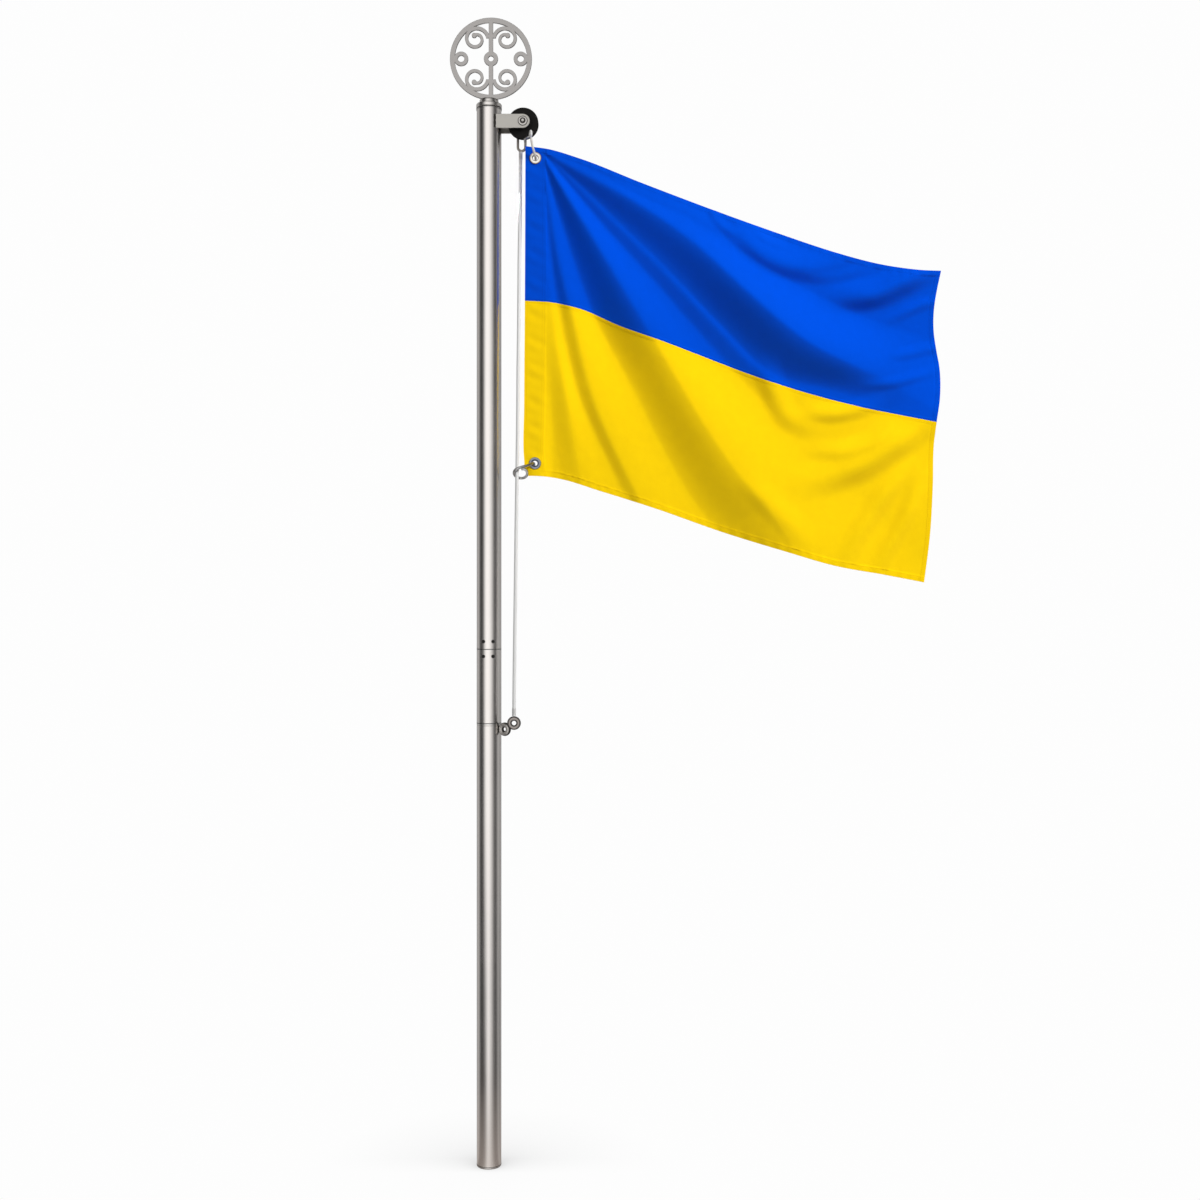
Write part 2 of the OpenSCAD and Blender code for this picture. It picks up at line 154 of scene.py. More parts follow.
def smooth_route(route, steps):
    """Points of a smooth curve through all points of a route."""
    line = []
    for i in range(len(route) - 1):
        a, b = route[max(i - 1, 0)], route[i]
        c, d = route[i + 1], route[min(i + 2, len(route) - 1)]
        for k in range(steps):
            t = k / steps
            line.append(0.5 * (2 * b + (c - a) * t + (2 * a - 5 * b + 4 * c - d) * t ** 2
                               + (3 * b - a - 3 * c + d) * t ** 3))
    return line + [route[-1]]


rope_line = smooth_route(rope_route, 5)

# %% [markdown]
# ## Sweeping a tube
# At every point of the line a ring of vertices is laid across its direction. A braid's strands
# bulge, so the ring's radius goes gently up and down with two families of spirals that cross each
# other. At this size that is half a millimetre of real relief, which shows as the rope's grain.

# %% Rope
def swept_tube(name, line, radius, sides, relief=None):
    """Closed tube along a line. relief(turn, along) gives a small change of the radius."""
    points, faces, along = [], [], 0
    for i, centre in enumerate(line):
        run = (line[min(i + 1, len(line) - 1)] - line[max(i - 1, 0)]).normalized()
        side = run.cross(Vector((0, 1, 0))).normalized()
        front = side.cross(run)
        along += (centre - line[max(i - 1, 0)]).length
        for k in range(sides):
            turn = k / sides
            r = radius + (relief(turn, along) if relief else 0)
            angle = 2 * math.pi * turn
            points.append(centre + r * (math.cos(angle) * side + math.sin(angle) * front))
    for i in range(len(line) - 1):
        for k in range(sides):
            a, b = i * sides + k, i * sides + (k + 1) % sides
            faces.append((a, b, b + sides, a + sides))
    faces.append(tuple(reversed(range(sides))))
    faces.append(tuple(range((len(line) - 1) * sides, len(line) * sides)))
    tube = mesh_piece(name, points, faces)
    face_outwards(tube)
    add_tube_uv(tube, line, sides)
    return tube


def add_tube_uv(tube, line, sides):
    """UV map: x goes once round the tube, y is the distance along it in metres."""
    along = [0]
    for a, b in zip(line, line[1:]):
        along.append(along[-1] + (b - a).length)
    layer = tube.data.uv_layers.new(name="around_along")
    for face in tube.data.polygons:
        corners = [tube.data.loops[k].vertex_index for k in face.loop_indices]
        crosses = max(c % sides for c in corners) - min(c % sides for c in corners) > sides / 2
        for k, c in zip(face.loop_indices, corners):
            turn = c % sides + (sides if crosses and c % sides == 0 else 0)
            layer.data[k].uv = (turn / sides, along[c // sides])


def braid_relief(turn, along):
    strands = 4
    pitch = 16 * MM
    left = math.cos(2 * math.pi * (strands * turn + along / pitch * strands))
    right = math.cos(2 * math.pi * (strands * turn - along / pitch * strands))
    return 0.16 * MM * max(left, right) - 0.08 * MM


fine_line = smooth_route(rope_line, 16)
rope = swept_tube("halyard_rope", fine_line, rope_d / 2, 20, braid_relief)
smooth(rope, 80)
settle(rope)
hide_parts("halyard")
# %% [markdown]
# ## Floor and background
# A studio sweep is a white floor that runs into a white wall with no line between them. Here the
# world itself is white wherever the camera looks at it, and it lights the object at a lower level
# than that. The floor is as white as the wall, and goes darker where something stands close above
# it, so the pole keeps its soft shadow and the floor's far edge can't be seen.
# A polished tube mirrors the whole room squeezed into its width, and in an all-white room it would
# look like white plastic. So in reflections the walls have tones: light in front and on both
# sides, with dark screens between, which the tube shows as dark lines along its length.

# %% Node helpers
def new_material(name):
    material = bpy.data.materials.new(name)
    material.use_nodes = True
    tree = material.node_tree
    return material, tree, tree.nodes["Principled BSDF"]


def new_node(tree, kind, **settings):
    node = tree.nodes.new(kind)
    for key, value in settings.items():
        if key in node.inputs:
            node.inputs[key].default_value = value
        else:
            setattr(node, key, value)
    return node


def math_node(tree, operation, *inputs):
    """Output of a Math node. Each input is a number or the output of another node."""
    node = new_node(tree, "ShaderNodeMath", operation=operation)
    for socket, value in zip(node.inputs, inputs):
        if isinstance(value, (int, float)):
            socket.default_value = value
        else:
            tree.links.new(value, socket)
    return node.outputs[0]


def ranged(tree, source, from_min, from_max, to_min, to_max):
    """Output of a Map Range node."""
    node = tree.nodes.new("ShaderNodeMapRange")
    for name, value in [("From Min", from_min), ("From Max", from_max),
                        ("To Min", to_min), ("To Max", to_max)]:
        node.inputs[name].default_value = value
    tree.links.new(source, node.inputs["Value"])
    return node.outputs["Result"]


def blend(tree, share, first, second):
    """Colour between first and second. Each is a colour or the output of another node."""
    node = new_node(tree, "ShaderNodeMix", data_type="RGBA")
    tree.links.new(share, node.inputs[0])
    for socket, value in ((node.inputs[6], first), (node.inputs[7], second)):
        if isinstance(value, tuple):
            socket.default_value = (*value, 1)
        else:
            tree.links.new(value, socket)
    return node.outputs[2]

# %% [markdown]
# ## Tones of the room
# The tones are read by direction round the pole. High up and straight down the room is dim, so the
# tube doesn't shine evenly from top to bottom. Only reflections see the tones: to the camera the
# wall is plain white.

# %% Floor and world
backdrop_white = 0.985
ambient_level = 0.24
wall_glow = 1.18
steep_glow = 0.25
steep_from, steep_to = 0.42, 0.75

# Direction round the pole in degrees, 0 towards the camera and 90 towards the fly, and wall tone
back_tones = [(142, 0.44), (154, 0.12), (166, 0.12), (178, 0.75)]
wall_tones = [
    (-178, 0.75), (-166, 0.12), (-154, 0.12), (-142, 0.40), (-104, 0.36), (-92, 0.12), (-82, 0.035),
    (-64, 0.04), (-50, 0.14), (-36, 0.64), (-24, 0.98), (-16, 1.0), (2, 1.0), (20, 0.74),
    (40, 0.33), (54, 0.09), (72, 0.07), (84, 0.22), (98, 0.40), (127, 0.26)] + back_tones
floor_tones = [
    (-178, 0.75), (-166, 0.12), (-154, 0.12), (-142, 0.36), (-102, 0.34), (-90, 0.14), (-80, 0.04),
    (-62, 0.03), (-50, 0.04), (-36, 0.12), (-24, 0.32), (-10, 0.72), (2, 0.80), (14, 0.62),
    (34, 0.32), (50, 0.09), (70, 0.04), (84, 0.14), (98, 0.28), (127, 0.14)] + back_tones


def room_tone(tree, direction, tones):
    """White, and for reflections the tone of the wall in that direction round the pole."""
    split = tree.nodes.new("ShaderNodeSeparateXYZ")
    tree.links.new(direction, split.inputs[0])
    front = math_node(tree, "MULTIPLY", split.outputs[1], -1)
    turn = math_node(tree, "ARCTAN2", split.outputs[0], front)
    ramp = tree.nodes.new("ShaderNodeValToRGB")
    for azimuth, tone in tones:
        stop = ramp.color_ramp.elements.new(0.5 + azimuth / 360)
        stop.color = (tone, tone, tone, 1)
    for spare in (ramp.color_ramp.elements[-1], ramp.color_ramp.elements[0]):
        spare.color = (tones[0][1],) * 3 + (1,)
    tree.links.new(ranged(tree, turn, -math.pi, math.pi, 0, 1), ramp.inputs[0])
    level = new_node(tree, "ShaderNodeVectorMath", operation="NORMALIZE")
    tree.links.new(direction, level.inputs[0])
    upright = tree.nodes.new("ShaderNodeSeparateXYZ")
    tree.links.new(level.outputs[0], upright.inputs[0])
    steep = math_node(tree, "ABSOLUTE", upright.outputs[2])
    toned = new_node(tree, "ShaderNodeVectorMath", operation="SCALE")
    tree.links.new(ramp.outputs[0], toned.inputs[0])
    tree.links.new(ranged(tree, steep, steep_from, steep_to, wall_glow, steep_glow),
                   toned.inputs["Scale"])
    path = tree.nodes.new("ShaderNodeLightPath")
    return blend(tree, path.outputs["Is Glossy Ray"], (1, 1, 1), toned.outputs[0])


def studio_rays(tree):
    """1 for rays from the camera or from a mirror or glass, and 0 for rays that carry light."""
    path = tree.nodes.new("ShaderNodeLightPath")
    first = math_node(tree, "MAXIMUM", path.outputs["Is Camera Ray"], path.outputs["Is Glossy Ray"])
    return math_node(tree, "MAXIMUM", first, path.outputs["Is Transmission Ray"])


def make_world():
    world = bpy.data.worlds.new("studio")
    bpy.context.scene.world = world
    world.use_nodes = True
    tree = world.node_tree
    tree.nodes.clear()
    output = tree.nodes.new("ShaderNodeOutputWorld")
    place = tree.nodes.new("ShaderNodeTexCoord")
    seen = new_node(tree, "ShaderNodeBackground", Strength=backdrop_white)
    tree.links.new(room_tone(tree, place.outputs["Generated"], wall_tones), seen.inputs["Color"])
    light = new_node(tree, "ShaderNodeBackground", Strength=ambient_level)
    light.inputs["Color"].default_value = (0.97, 0.985, 1, 1)
    mix = tree.nodes.new("ShaderNodeMixShader")
    tree.links.new(studio_rays(tree), mix.inputs[0])
    tree.links.new(light.outputs[0], mix.inputs[1])
    tree.links.new(seen.outputs[0], mix.inputs[2])
    tree.links.new(mix.outputs[0], output.inputs["Surface"])

# %% [markdown]
# ## The floor
# The floor glows as white as the wall and is darker where something stands close above it. That is
# ambient occlusion, and it gives the soft shade round the pole's foot. In reflections the floor has
# its own tones near the pole and runs over into those of the walls further out.

# %% Floor
deepest_shade = 0.45
half_open = 0.5
shade_reach = 0.3
front_fade = 0.035
front_share = 0.92
near_floor, far_floor = 0.8, 4.5
foot_start, foot_end, foot_share = 0.05, 0.6, 0.55
foot_tone = (0.52, 0.45, 0.41)
floor_size = 14


def floor_paint():
    material, tree, paint = new_material("studio_floor")
    tree.nodes.remove(paint)
    glow = new_node(tree, "ShaderNodeEmission", Strength=1)
    nearby = new_node(tree, "ShaderNodeAmbientOcclusion", Distance=shade_reach, samples=32)
    shade = ranged(tree, nearby.outputs["AO"], half_open, 1, deepest_shade, backdrop_white)
    place = tree.nodes.new("ShaderNodeTexCoord").outputs["Object"]
    split = tree.nodes.new("ShaderNodeSeparateXYZ")
    tree.links.new(place, split.inputs[0])
    lit_front = ranged(tree, split.outputs[1], -front_fade, front_fade, front_share, 0)
    shaded = blend(tree, lit_front, shade, (backdrop_white,) * 3)
    far = new_node(tree, "ShaderNodeVectorMath", operation="LENGTH")
    tree.links.new(place, far.inputs[0])
    away = far.outputs["Value"]
    wide = blend(tree, ranged(tree, away, near_floor, far_floor, 0, 1),
                 room_tone(tree, place, floor_tones), room_tone(tree, place, wall_tones))
    walls = blend(tree, ranged(tree, away, foot_start, foot_end, foot_share, 1), foot_tone, wide)
    path = tree.nodes.new("ShaderNodeLightPath")
    tree.links.new(blend(tree, path.outputs["Is Glossy Ray"], shaded, walls), glow.inputs["Color"])
    tree.links.new(glow.outputs[0], tree.nodes["Material Output"].inputs["Surface"])
    return material


make_world()
deselect_all()
bpy.ops.mesh.primitive_plane_add(size=floor_size, location=(0, 0, cad_low.z - 0.5 * MM))
floor = bpy.context.object
floor.name = "studio_floor"
floor.data.materials.append(floor_paint())
floor.visible_diffuse = False
bpy.context.scene.view_settings.view_transform = "Standard"
print("floor at", round(floor.location.z, 4), "ambient", ambient_level)

# %% [markdown]
# ## Lights
# The folds of the cloth read well when one broad light comes from above on the fly side and in
# front: slopes that face it shine and slopes that face away go dark. A weak broad light from the
# left lifts the dark side, and one behind shows the cloth's back when the object is turned. All
# three are large, so no shadow has a hard edge.

# %% Lights
aim = Vector((0.35, 0, 1.35))


def place_lamp(name, data, target, direction, distance, power):
    """Aims a lamp at the target from a distance. Reflections don't show it."""
    data.energy = power
    lamp = bpy.data.objects.new(name, data)
    way = Vector(direction).normalized()
    lamp.location = Vector(target) + way * distance
    lamp.rotation_euler = (-way).to_track_quat("-Z", "Y").to_euler()
    lamp.visible_glossy = False
    bpy.context.scene.collection.objects.link(lamp)
    return lamp


def area_light(name, direction, distance, size, power):
    data = bpy.data.lights.new(name, "AREA")
    data.shape = "DISK"
    data.size = size
    return place_lamp(name, data, aim, direction, distance, power)


key_light = area_light("key_light", (0.62, -0.52, 0.60), 4.2, 1.3, 190)
fill_light = area_light("fill_light", (-0.7, -1, 0.25), 4.5, 2.5, 44)
back_light = area_light("back_light", (0.1, 1, 0.35), 4.5, 2.5, 110)


# The rope's upper end hangs in the shade of the flag's hoist, so a narrow strip lamp from the left
# front brings that end back to white. It hardly spreads, so it doesn't reach the cloth.
def strip_lamp(name, target, direction, distance, width, height, spread, power):
    data = bpy.data.lights.new(name, "AREA")
    data.shape = "RECTANGLE"
    data.size, data.size_y = width, height
    data.spread = math.radians(spread)
    return place_lamp(name, data, target, direction, distance, power)


shaded_end = (rope_route[0] + rope_route[2]) / 2
strip_lamp("rope_light", shaded_end, (-0.6, -1, 0), 0.6, 0.01, 0.12, 2.5, 0.009)
print("lights:", [(lamp.name, lamp.data.energy) for lamp in (key_light, fill_light, back_light)])
# %% [markdown]
# ## Brushed steel
# The tubes are stainless steel, ground along their length and then polished. Metal has no colour of
# its own under the gloss, so the base colour is the tint of the reflection, and the roughness says
# how blurred it is. A real tube is never even: the grinding leaves fine lines along it, and handling
# leaves slightly duller patches. Noise that is stretched along the height gives both. It is read
# from Object coordinates, so it stays on the metal.

# %% Surface helpers
def scaled(tint, factor):
    return tuple(c * factor for c in tint)


def noise(tree, source, scale, detail, roughness=0.5):
    node = new_node(tree, "ShaderNodeTexNoise", Scale=scale, Detail=detail, Roughness=roughness)
    tree.links.new(source, node.inputs["Vector"])
    return node.outputs["Fac"]


def object_place(tree):
    return tree.nodes.new("ShaderNodeTexCoord").outputs["Object"]


def dress(tree, shader, colour, roughness, height, strength, distance):
    """Links the three maps that every surface here has: colour, roughness and a fine relief."""
    tree.links.new(colour, shader.inputs["Base Color"])
    tree.links.new(roughness, shader.inputs["Roughness"])
    bump = new_node(tree, "ShaderNodeBump", Strength=strength, Distance=distance)
    tree.links.new(height, bump.inputs["Height"])
    tree.links.new(bump.outputs[0], shader.inputs["Normal"])

# %% Brushed metal
def brushed_metal(name, tint, roughness, grain, bump=0.05, spread=0.06, metallic=1.0):
    """Metal with fine lines. grain is how many lines there are per metre along X, Y and Z."""
    material, tree, metal = new_material(name)
    metal.inputs["Metallic"].default_value = metallic
    place = object_place(tree)
    stretch = new_node(tree, "ShaderNodeMapping", Scale=grain)
    tree.links.new(place, stretch.inputs["Vector"])
    lines = noise(tree, stretch.outputs[0], 1, 4, 0.7)
    patches = noise(tree, place, 9, 3)
    uneven = math_node(tree, "ADD", lines, patches)
    dress(tree, metal, blend(tree, patches, scaled(tint, 0.86), tint),
          ranged(tree, uneven, 0.6, 1.4, roughness - spread, roughness + spread),
          lines, bump, 0.2 * MM)
    return material


along_pole = (900, 900, 6)
all_ways = (500, 500, 500)
tube_steel = brushed_metal("tube_steel", (0.90, 0.855, 0.82), 0.24, along_pole)
turned_steel = brushed_metal("turned_steel", (0.82, 0.78, 0.745), 0.27, (120, 120, 2500))
plate_steel = brushed_metal("plate_steel", (0.455, 0.435, 0.42), 0.36, (60, 900, 900), 0.08)
bracket_steel = brushed_metal("bracket_steel", (0.47, 0.45, 0.415), 0.32, (30, 900, 900), 0.08,
                              metallic=0.8)
ring_steel = brushed_metal("ring_steel", (0.40, 0.385, 0.37), 0.24, all_ways, 0.1)
fastener_steel = brushed_metal("fastener_steel", (0.62, 0.60, 0.59), 0.25, all_ways, 0.06)
black_steel = brushed_metal("black_steel", (0.07, 0.068, 0.066), 0.4, all_ways, 0.1)

# %% [markdown]
# ## Moulded plastic and rope fibre
# The wheel is black nylon: nearly black, with a soft gloss and the faint grain of its mould. The
# rope is pale grey polyester. Its fibres scatter light, so it has no gloss at all, and the hollows
# between strands are painted darker than their tops, as painted shade. That pattern is drawn on the
# rope's own UV map, and the whipped ends get a tight winding instead, with painted shade between
# its turns.

# %% Plastic, rope and thread
def moulded_plastic(name, tint, roughness):
    material, tree, plastic = new_material(name)
    plastic.inputs["Specular IOR Level"].default_value = 0.1
    place = object_place(tree)
    grain, wear = noise(tree, place, 900, 3), noise(tree, place, 60, 3)
    dress(tree, plastic, blend(tree, wear, tint, scaled(tint, 2.2)),
          ranged(tree, wear, 0, 1, roughness - 0.1, roughness + 0.1), grain, 0.15, 0.1 * MM)
    return material


def fibre(name, tint, spirals):
    """Fibrous surface. spirals is a list of (turns per metre along, turns round) on the UV map."""
    material, tree, cloth = new_material(name)
    cloth.inputs["Specular IOR Level"].default_value = 0.15
    uv = new_node(tree, "ShaderNodeUVMap", uv_map="around_along")
    height = None
    for along, around in spirals:
        turn = new_node(tree, "ShaderNodeVectorMath", operation="DOT_PRODUCT")
        turn.inputs[1].default_value = (around * 2 * math.pi, along * 2 * math.pi, 0)
        tree.links.new(uv.outputs[0], turn.inputs[0])
        wave = math_node(tree, "COSINE", turn.outputs["Value"])
        height = wave if height is None else math_node(tree, "MAXIMUM", height, wave)
    # The hollows of the braid are painted darker than the strands' tops: painted shade.
    shade = ranged(tree, height, -1, 1, 0, 1)
    dress(tree, cloth, blend(tree, shade, scaled(tint, 0.75), tint),
          ranged(tree, shade, 0, 1, 0.95, 0.78), shade, 0.35, 0.3 * MM)
    return material


wheel_nylon = moulded_plastic("wheel_nylon", (0.004, 0.0036, 0.0034), 0.5)
rope_fibre = fibre("rope_fibre", (0.83, 0.825, 0.81), [(250, 4), (-250, 4)])
rope.data.materials.append(rope_fibre)


def wound_thread(name, tint):
    material, tree, thread = new_material(name)
    thread.inputs["Specular IOR Level"].default_value = 0.2
    turns = new_node(tree, "ShaderNodeTexWave", bands_direction="Z", Scale=290, Distortion=0.6)
    tree.links.new(object_place(tree), turns.inputs["Vector"])
    turns = turns.outputs["Fac"]
    # Darker between the turns of the thread: painted shade in the grooves.
    dress(tree, thread, blend(tree, turns, scaled(tint, 0.6), tint),
          ranged(tree, turns, 0, 1, 0.9, 0.7), turns, 0.6, 0.3 * MM)
    return material


whipping_thread = wound_thread("whipping_thread", (0.80, 0.79, 0.77))
print("materials:", len(bpy.data.materials))

# %% [markdown]
# ## Dressing the frame
# The tubes, spacers, nut, plug, screws and wheel already have their true shapes, so they stay as
# they are and only get their finish. The other nodes are remade later, each with its own finish. A
# table of finish and names is easier to read and to change than one line for every node.

# %% Dress the frame
finishes = [
    (tube_steel, ["lower_tube", "middle_tube", "upper_tube", "lower_sleeve", "upper_sleeve"]),
    (turned_steel, ["seam_band", "top_collar", "spacer_front", "spacer_rear"]),
    (fastener_steel, ["axle_nut"]),
    # The plug's darker steel is partly its turned finish, partly painted shade for the dark line at the
    # foot.
    (ring_steel, ["base_plug"]),
    (black_steel, ["joint_screws_low", "joint_screws_high"]),
    (wheel_nylon, ["pulley_wheel"]),
]
for finish, names in finishes:
    for name in names:
        for slot in nodes[name].material_slots:
            slot.material = finish
    print(finish.name, "on", len(names), "nodes")
# %% [markdown]
# ## How the flag hangs
# The flag is 90 by 60 cm of light polyester, blue over yellow, clipped to the rope at its two hoist
# corners. Its weight pulls on the top corner, so all large folds spread from there like the ribs
# of a fan, down to the lower edge and out to the fly. A cloth simulation would give folds of its
# own choosing, so these are designed: the cloth is a fine grid, and its vertices are moved.
# The outline comes first. The top edge, the seam between the stripes and the lower edge are three
# smooth curves, given by a few points in millimetres.

# %% Outline of the hanging cloth
import numpy as np

top_edge = [(66, 1865), (106, 1860), (167, 1842), (276, 1799), (386, 1757), (533, 1704),
            (642, 1668), (716, 1649), (789, 1638.5), (827, 1637)]
stripe_seam = [(66, 1582), (115, 1579), (167, 1567), (240, 1536), (313, 1510), (386, 1482),
               (459, 1454), (569, 1417), (679, 1388), (752, 1373), (820, 1360)]
low_edge = [(62, 1262), (106, 1260), (130, 1256), (203, 1234), (313, 1199), (423, 1160),
            (533, 1126), (642, 1095), (716, 1082), (800, 1066)]
hoist_edge = [(0, 66.5), (0.5, 65.5), (0.8, 64.2), (0.95, 64), (0.98, 66), (1, 71)]
fly_edge = [(0, 827), (0.06, 820), (0.13, 814), (0.2, 813.5), (0.26, 818), (0.32, 824), (0.42, 825),
            (0.5, 819), (0.57, 814), (0.7, 812), (0.85, 807), (1, 796)]


def curve_at(t, points):
    """Smooth curve through points (place, value), read at t."""
    place, value = (np.array(column, float) for column in zip(*points))
    rise = np.gradient(value, place)
    i = np.clip(np.searchsorted(place, t) - 1, 0, len(place) - 2)
    step = place[i + 1] - place[i]
    s = np.clip((t - place[i]) / step, 0, 1)
    return ((2 * s**3 - 3 * s**2 + 1) * value[i] + (s**3 - 2 * s**2 + s) * step * rise[i]
            + (3 * s**2 - 2 * s**3) * value[i + 1] + (s**3 - s**2) * step * rise[i + 1])


def outline_place(u, v):
    """Place across and up, in millimetres, at u along the fly and v down the hoist."""
    x = curve_at(v, hoist_edge) * (1 - u) + curve_at(v, fly_edge) * u
    top, middle, low = (curve_at(x, edge) for edge in (top_edge, stripe_seam, low_edge))
    upper = top + (middle - top) * np.clip(2 * v, 0, 1)
    lower = middle + (low - middle) * np.clip(2 * v - 1, 0, 1)
    return x, np.where(v < 0.5, upper, lower)

# %% [markdown]
# ## The fan of folds
# Seen from the top corner, every fold keeps nearly the same direction. So the crests and the
# hollows are written down as rays: the angle of each below the horizontal, and how far it stands
# out towards the front, at six distances from the corner. Between a crest and the next hollow the
# cloth swings over in a soft S. Wide steep flanks that turn down and away from the light make the
# dark bands, and those that turn up towards it make the bright ones.

# %% Fan of folds
fan_corner = (93, 1858)
fan_distance = (40, 150, 300, 450, 600, 690, 770)
fan_rays = [
    # angles in degrees                    stand-out in millimetres
    ((2, 16, 18.3, 19, 19, 18, 16),        (1, 5, -2, -18, -17, -19, -20)),
    ((15, 23, 24, 27, 27.5, 27, 26),       (2, 8, 7, -6, -18, -22, -22)),
    ((28, 28, 30.3, 34, 35.5, 34.5, 33.5), (4, 13, 24, 32, 29, 14, -6)),
    ((41.5, 42.5, 43, 44, 43.5, 39.5, 37), (0, -1, 1, 0, -4, -8, -10)),
    ((43.5, 44, 44.3, 45, 45, 43, 41),     (0.5, -0.3, 1.8, 1, -3, -7, -9)),
    ((50, 50, 49, 49, 48.5, 48, 47),       (-1.5, -3.5, -3, -6, -8, -8, -8)),
    ((59, 58.7, 59, 59, 59, 58.5, 57.5),   (5, 11, 20, 14, 13, 12, 10)),
    ((73, 73, 72, 69, 67.5, 66.5, 65),     (-2, -6, -8, -12, -15, -15, -15)),
    ((79, 80.5, 79, 78, 75.2, 73.5, 72),   (0.5, 0.5, 3, 2, -5, -7, -8)),
    ((83, 84.5, 83, 81, 77.3, 75.5, 74),   (-1, -3.5, -4, -5, -11, -12, -12)),
    ((85, 87, 86, 84, 83, 82, 80),         (0, 0, 0, 3, -4, -8, -8)),
    ((90, 90, 89, 88, 86.5, 86, 85),       (0, 0, 0, -3, -9, -10, -10)),
]
softness = 0.6


def fan_height(x, z):
    """How far the cloth stands out at a place, from the fan of folds."""
    across, down = x - fan_corner[0], fan_corner[1] - z
    distance = np.hypot(across, down)
    angle = np.degrees(np.arctan2(down, across))
    d = np.clip(distance, fan_distance[0], fan_distance[-1])
    rays = [(curve_at(d, list(zip(fan_distance, angles))), curve_at(d, list(zip(fan_distance, outs))))
            for angles, outs in fan_rays]
    height = np.where(angle < rays[0][0], rays[0][1], rays[-1][1])
    for (low_angle, low_out), (high_angle, high_out) in zip(rays, rays[1:]):
        s = np.clip((angle - low_angle) / (high_angle - low_angle), 0, 1)
        swing = softness * (3 * s**2 - 2 * s**3) + (1 - softness) * s
        inside = (angle >= low_angle) & (angle < high_angle)
        height = np.where(inside, low_out + (high_out - low_out) * swing, height)
    return height

# %% [markdown]
# ## Smaller folds
# Towards the fly the cloth is loose and carries short folds of its own, which run across the fan.
# Each is a low ridge along a given line, with one width on its lower left side and another on
# its upper right side, because a fold that leans is steeper on one side.

# %% Smaller folds
ridges = [
    # points across and up, millimetres                              out, lower side, upper side
    ([(425, 1790), (455, 1722), (505, 1668), (569, 1645), (633, 1653), (715, 1690)], 12.5, 34, 44),
    ([(395, 1765), (424, 1722), (460, 1696)], 3.5, 12, 14),
    ([(480, 1715), (512, 1690), (560, 1678)], 3, 9, 12),
    ([(590, 1586), (650, 1588), (705, 1594), (755, 1616), (800, 1638), (850, 1650)], 16.5, 34, 36),
    ([(560, 1628), (610, 1622), (660, 1632), (700, 1650)], 3, 16, 16),
    ([(705, 1530), (760, 1560), (800, 1577), (840, 1585)], 4, 14, 14),
    ([(535, 1242), (610, 1254), (685, 1284), (739, 1318), (790, 1352), (860, 1390)], 12, 38, 46),
    ([(500, 1490), (515, 1430), (550, 1366), (625, 1352)], 5.5, 30, 34),
    ([(455, 1272), (500, 1222), (550, 1172), (605, 1110)], 3.5, 30, 36),
    ([(625, 1055), (680, 1160), (730, 1235), (785, 1300)], 8.5, 26, 30),
    ([(690, 1050), (735, 1135), (772, 1205), (800, 1300)], 7, 22, 24),
    ([(560, 1318), (620, 1304), (690, 1320), (740, 1362), (790, 1410)], 5.5, 22, 26),
    ([(560, 1384), (620, 1374), (680, 1384), (730, 1404)], 5.5, 20, 26),
    ([(670, 1425), (730, 1430), (780, 1442), (840, 1462)], 4, 13, 16),
    ([(730, 1478), (780, 1488), (850, 1506)], 4, 14, 16),
]


def ridge_height(x, z, line, out, lower, upper):
    """Height of one ridge, which fades out at both ends. Its lower side is below its line."""
    best = np.full(x.shape, 1e9)
    side, share = np.zeros(x.shape), np.zeros(x.shape)
    for k, ((ax, az), (bx, bz)) in enumerate(zip(line, line[1:])):
        run_x, run_z = bx - ax, bz - az
        length = math.hypot(run_x, run_z)
        t = np.clip(((x - ax) * run_x + (z - az) * run_z) / length**2, 0, 1)
        away = np.hypot(x - ax - t * run_x, z - az - t * run_z)
        above = (z - az) * run_x - (x - ax) * run_z
        nearer = away < best
        side = np.where(nearer, np.sign(above), side)
        share = np.where(nearer, (k + t) / (len(line) - 1), share)
        best = np.where(nearer, away, best)
    width = np.where(side > 0, upper, lower)
    taper = np.sin(np.clip(np.minimum(share, 1 - share) / 0.4, 0, 1) * math.pi / 2) ** 2
    return out * taper * np.cos(np.clip(best / width, 0, 1) * math.pi / 2) ** 2


def cloth_height(x, z, u, v):
    """Whole relief of the cloth in millimetres, positive to the front."""
    height = fan_height(x, z)
    for line, out, lower, upper in ridges:
        height += ridge_height(x, z, smooth_line(line, 6), out, lower, upper)
    free = np.clip((x - 92) / 26, 0, 1)
    height *= free * free * (3 - 2 * free)
    ripple = np.sin(z / 4.6 + x / 9) * np.sin(z / 17 + 1)
    height += 0.9 * ripple * np.clip((112 - x) / 30, 0, 1) * np.clip((x - 66) / 14, 0, 1)
    to_edge = np.minimum(v, 1 - v) * 600
    pucker = np.sin(x / 3.6 + 2 * np.sin(x / 31)) * np.exp(-((to_edge / 12) ** 2))
    return height + 0.55 * pucker * np.clip((x - 110) / 40, 0, 1)


def smooth_line(line, steps):
    route = smooth_route([Vector((x, 0, z)) for x, z in line], steps)
    return [(p.x, p.z) for p in route]

# %% [markdown]
# ## From the grid to a closed sheet
# A sheet with thickness has a front, a back and a narrow rim. Cloth is about half a millimetre
# thick, and a hem or seam, where it is folded over and sewn, is twice as thick or more. So the
# thickness is a map too. The cells under the two grommets are left out, and a rim closes every
# open edge, the holes' edges included. The outline was drawn as seen from the front, so each point
# slides along its line of sight to its own depth, and the outline stays true.

# %% Closed sheet
flat_length, flat_height = 0.9, 0.6
cloth_t = 0.6
hem_t = 1.1
header_end, hem_w = 0.0465, 0.011


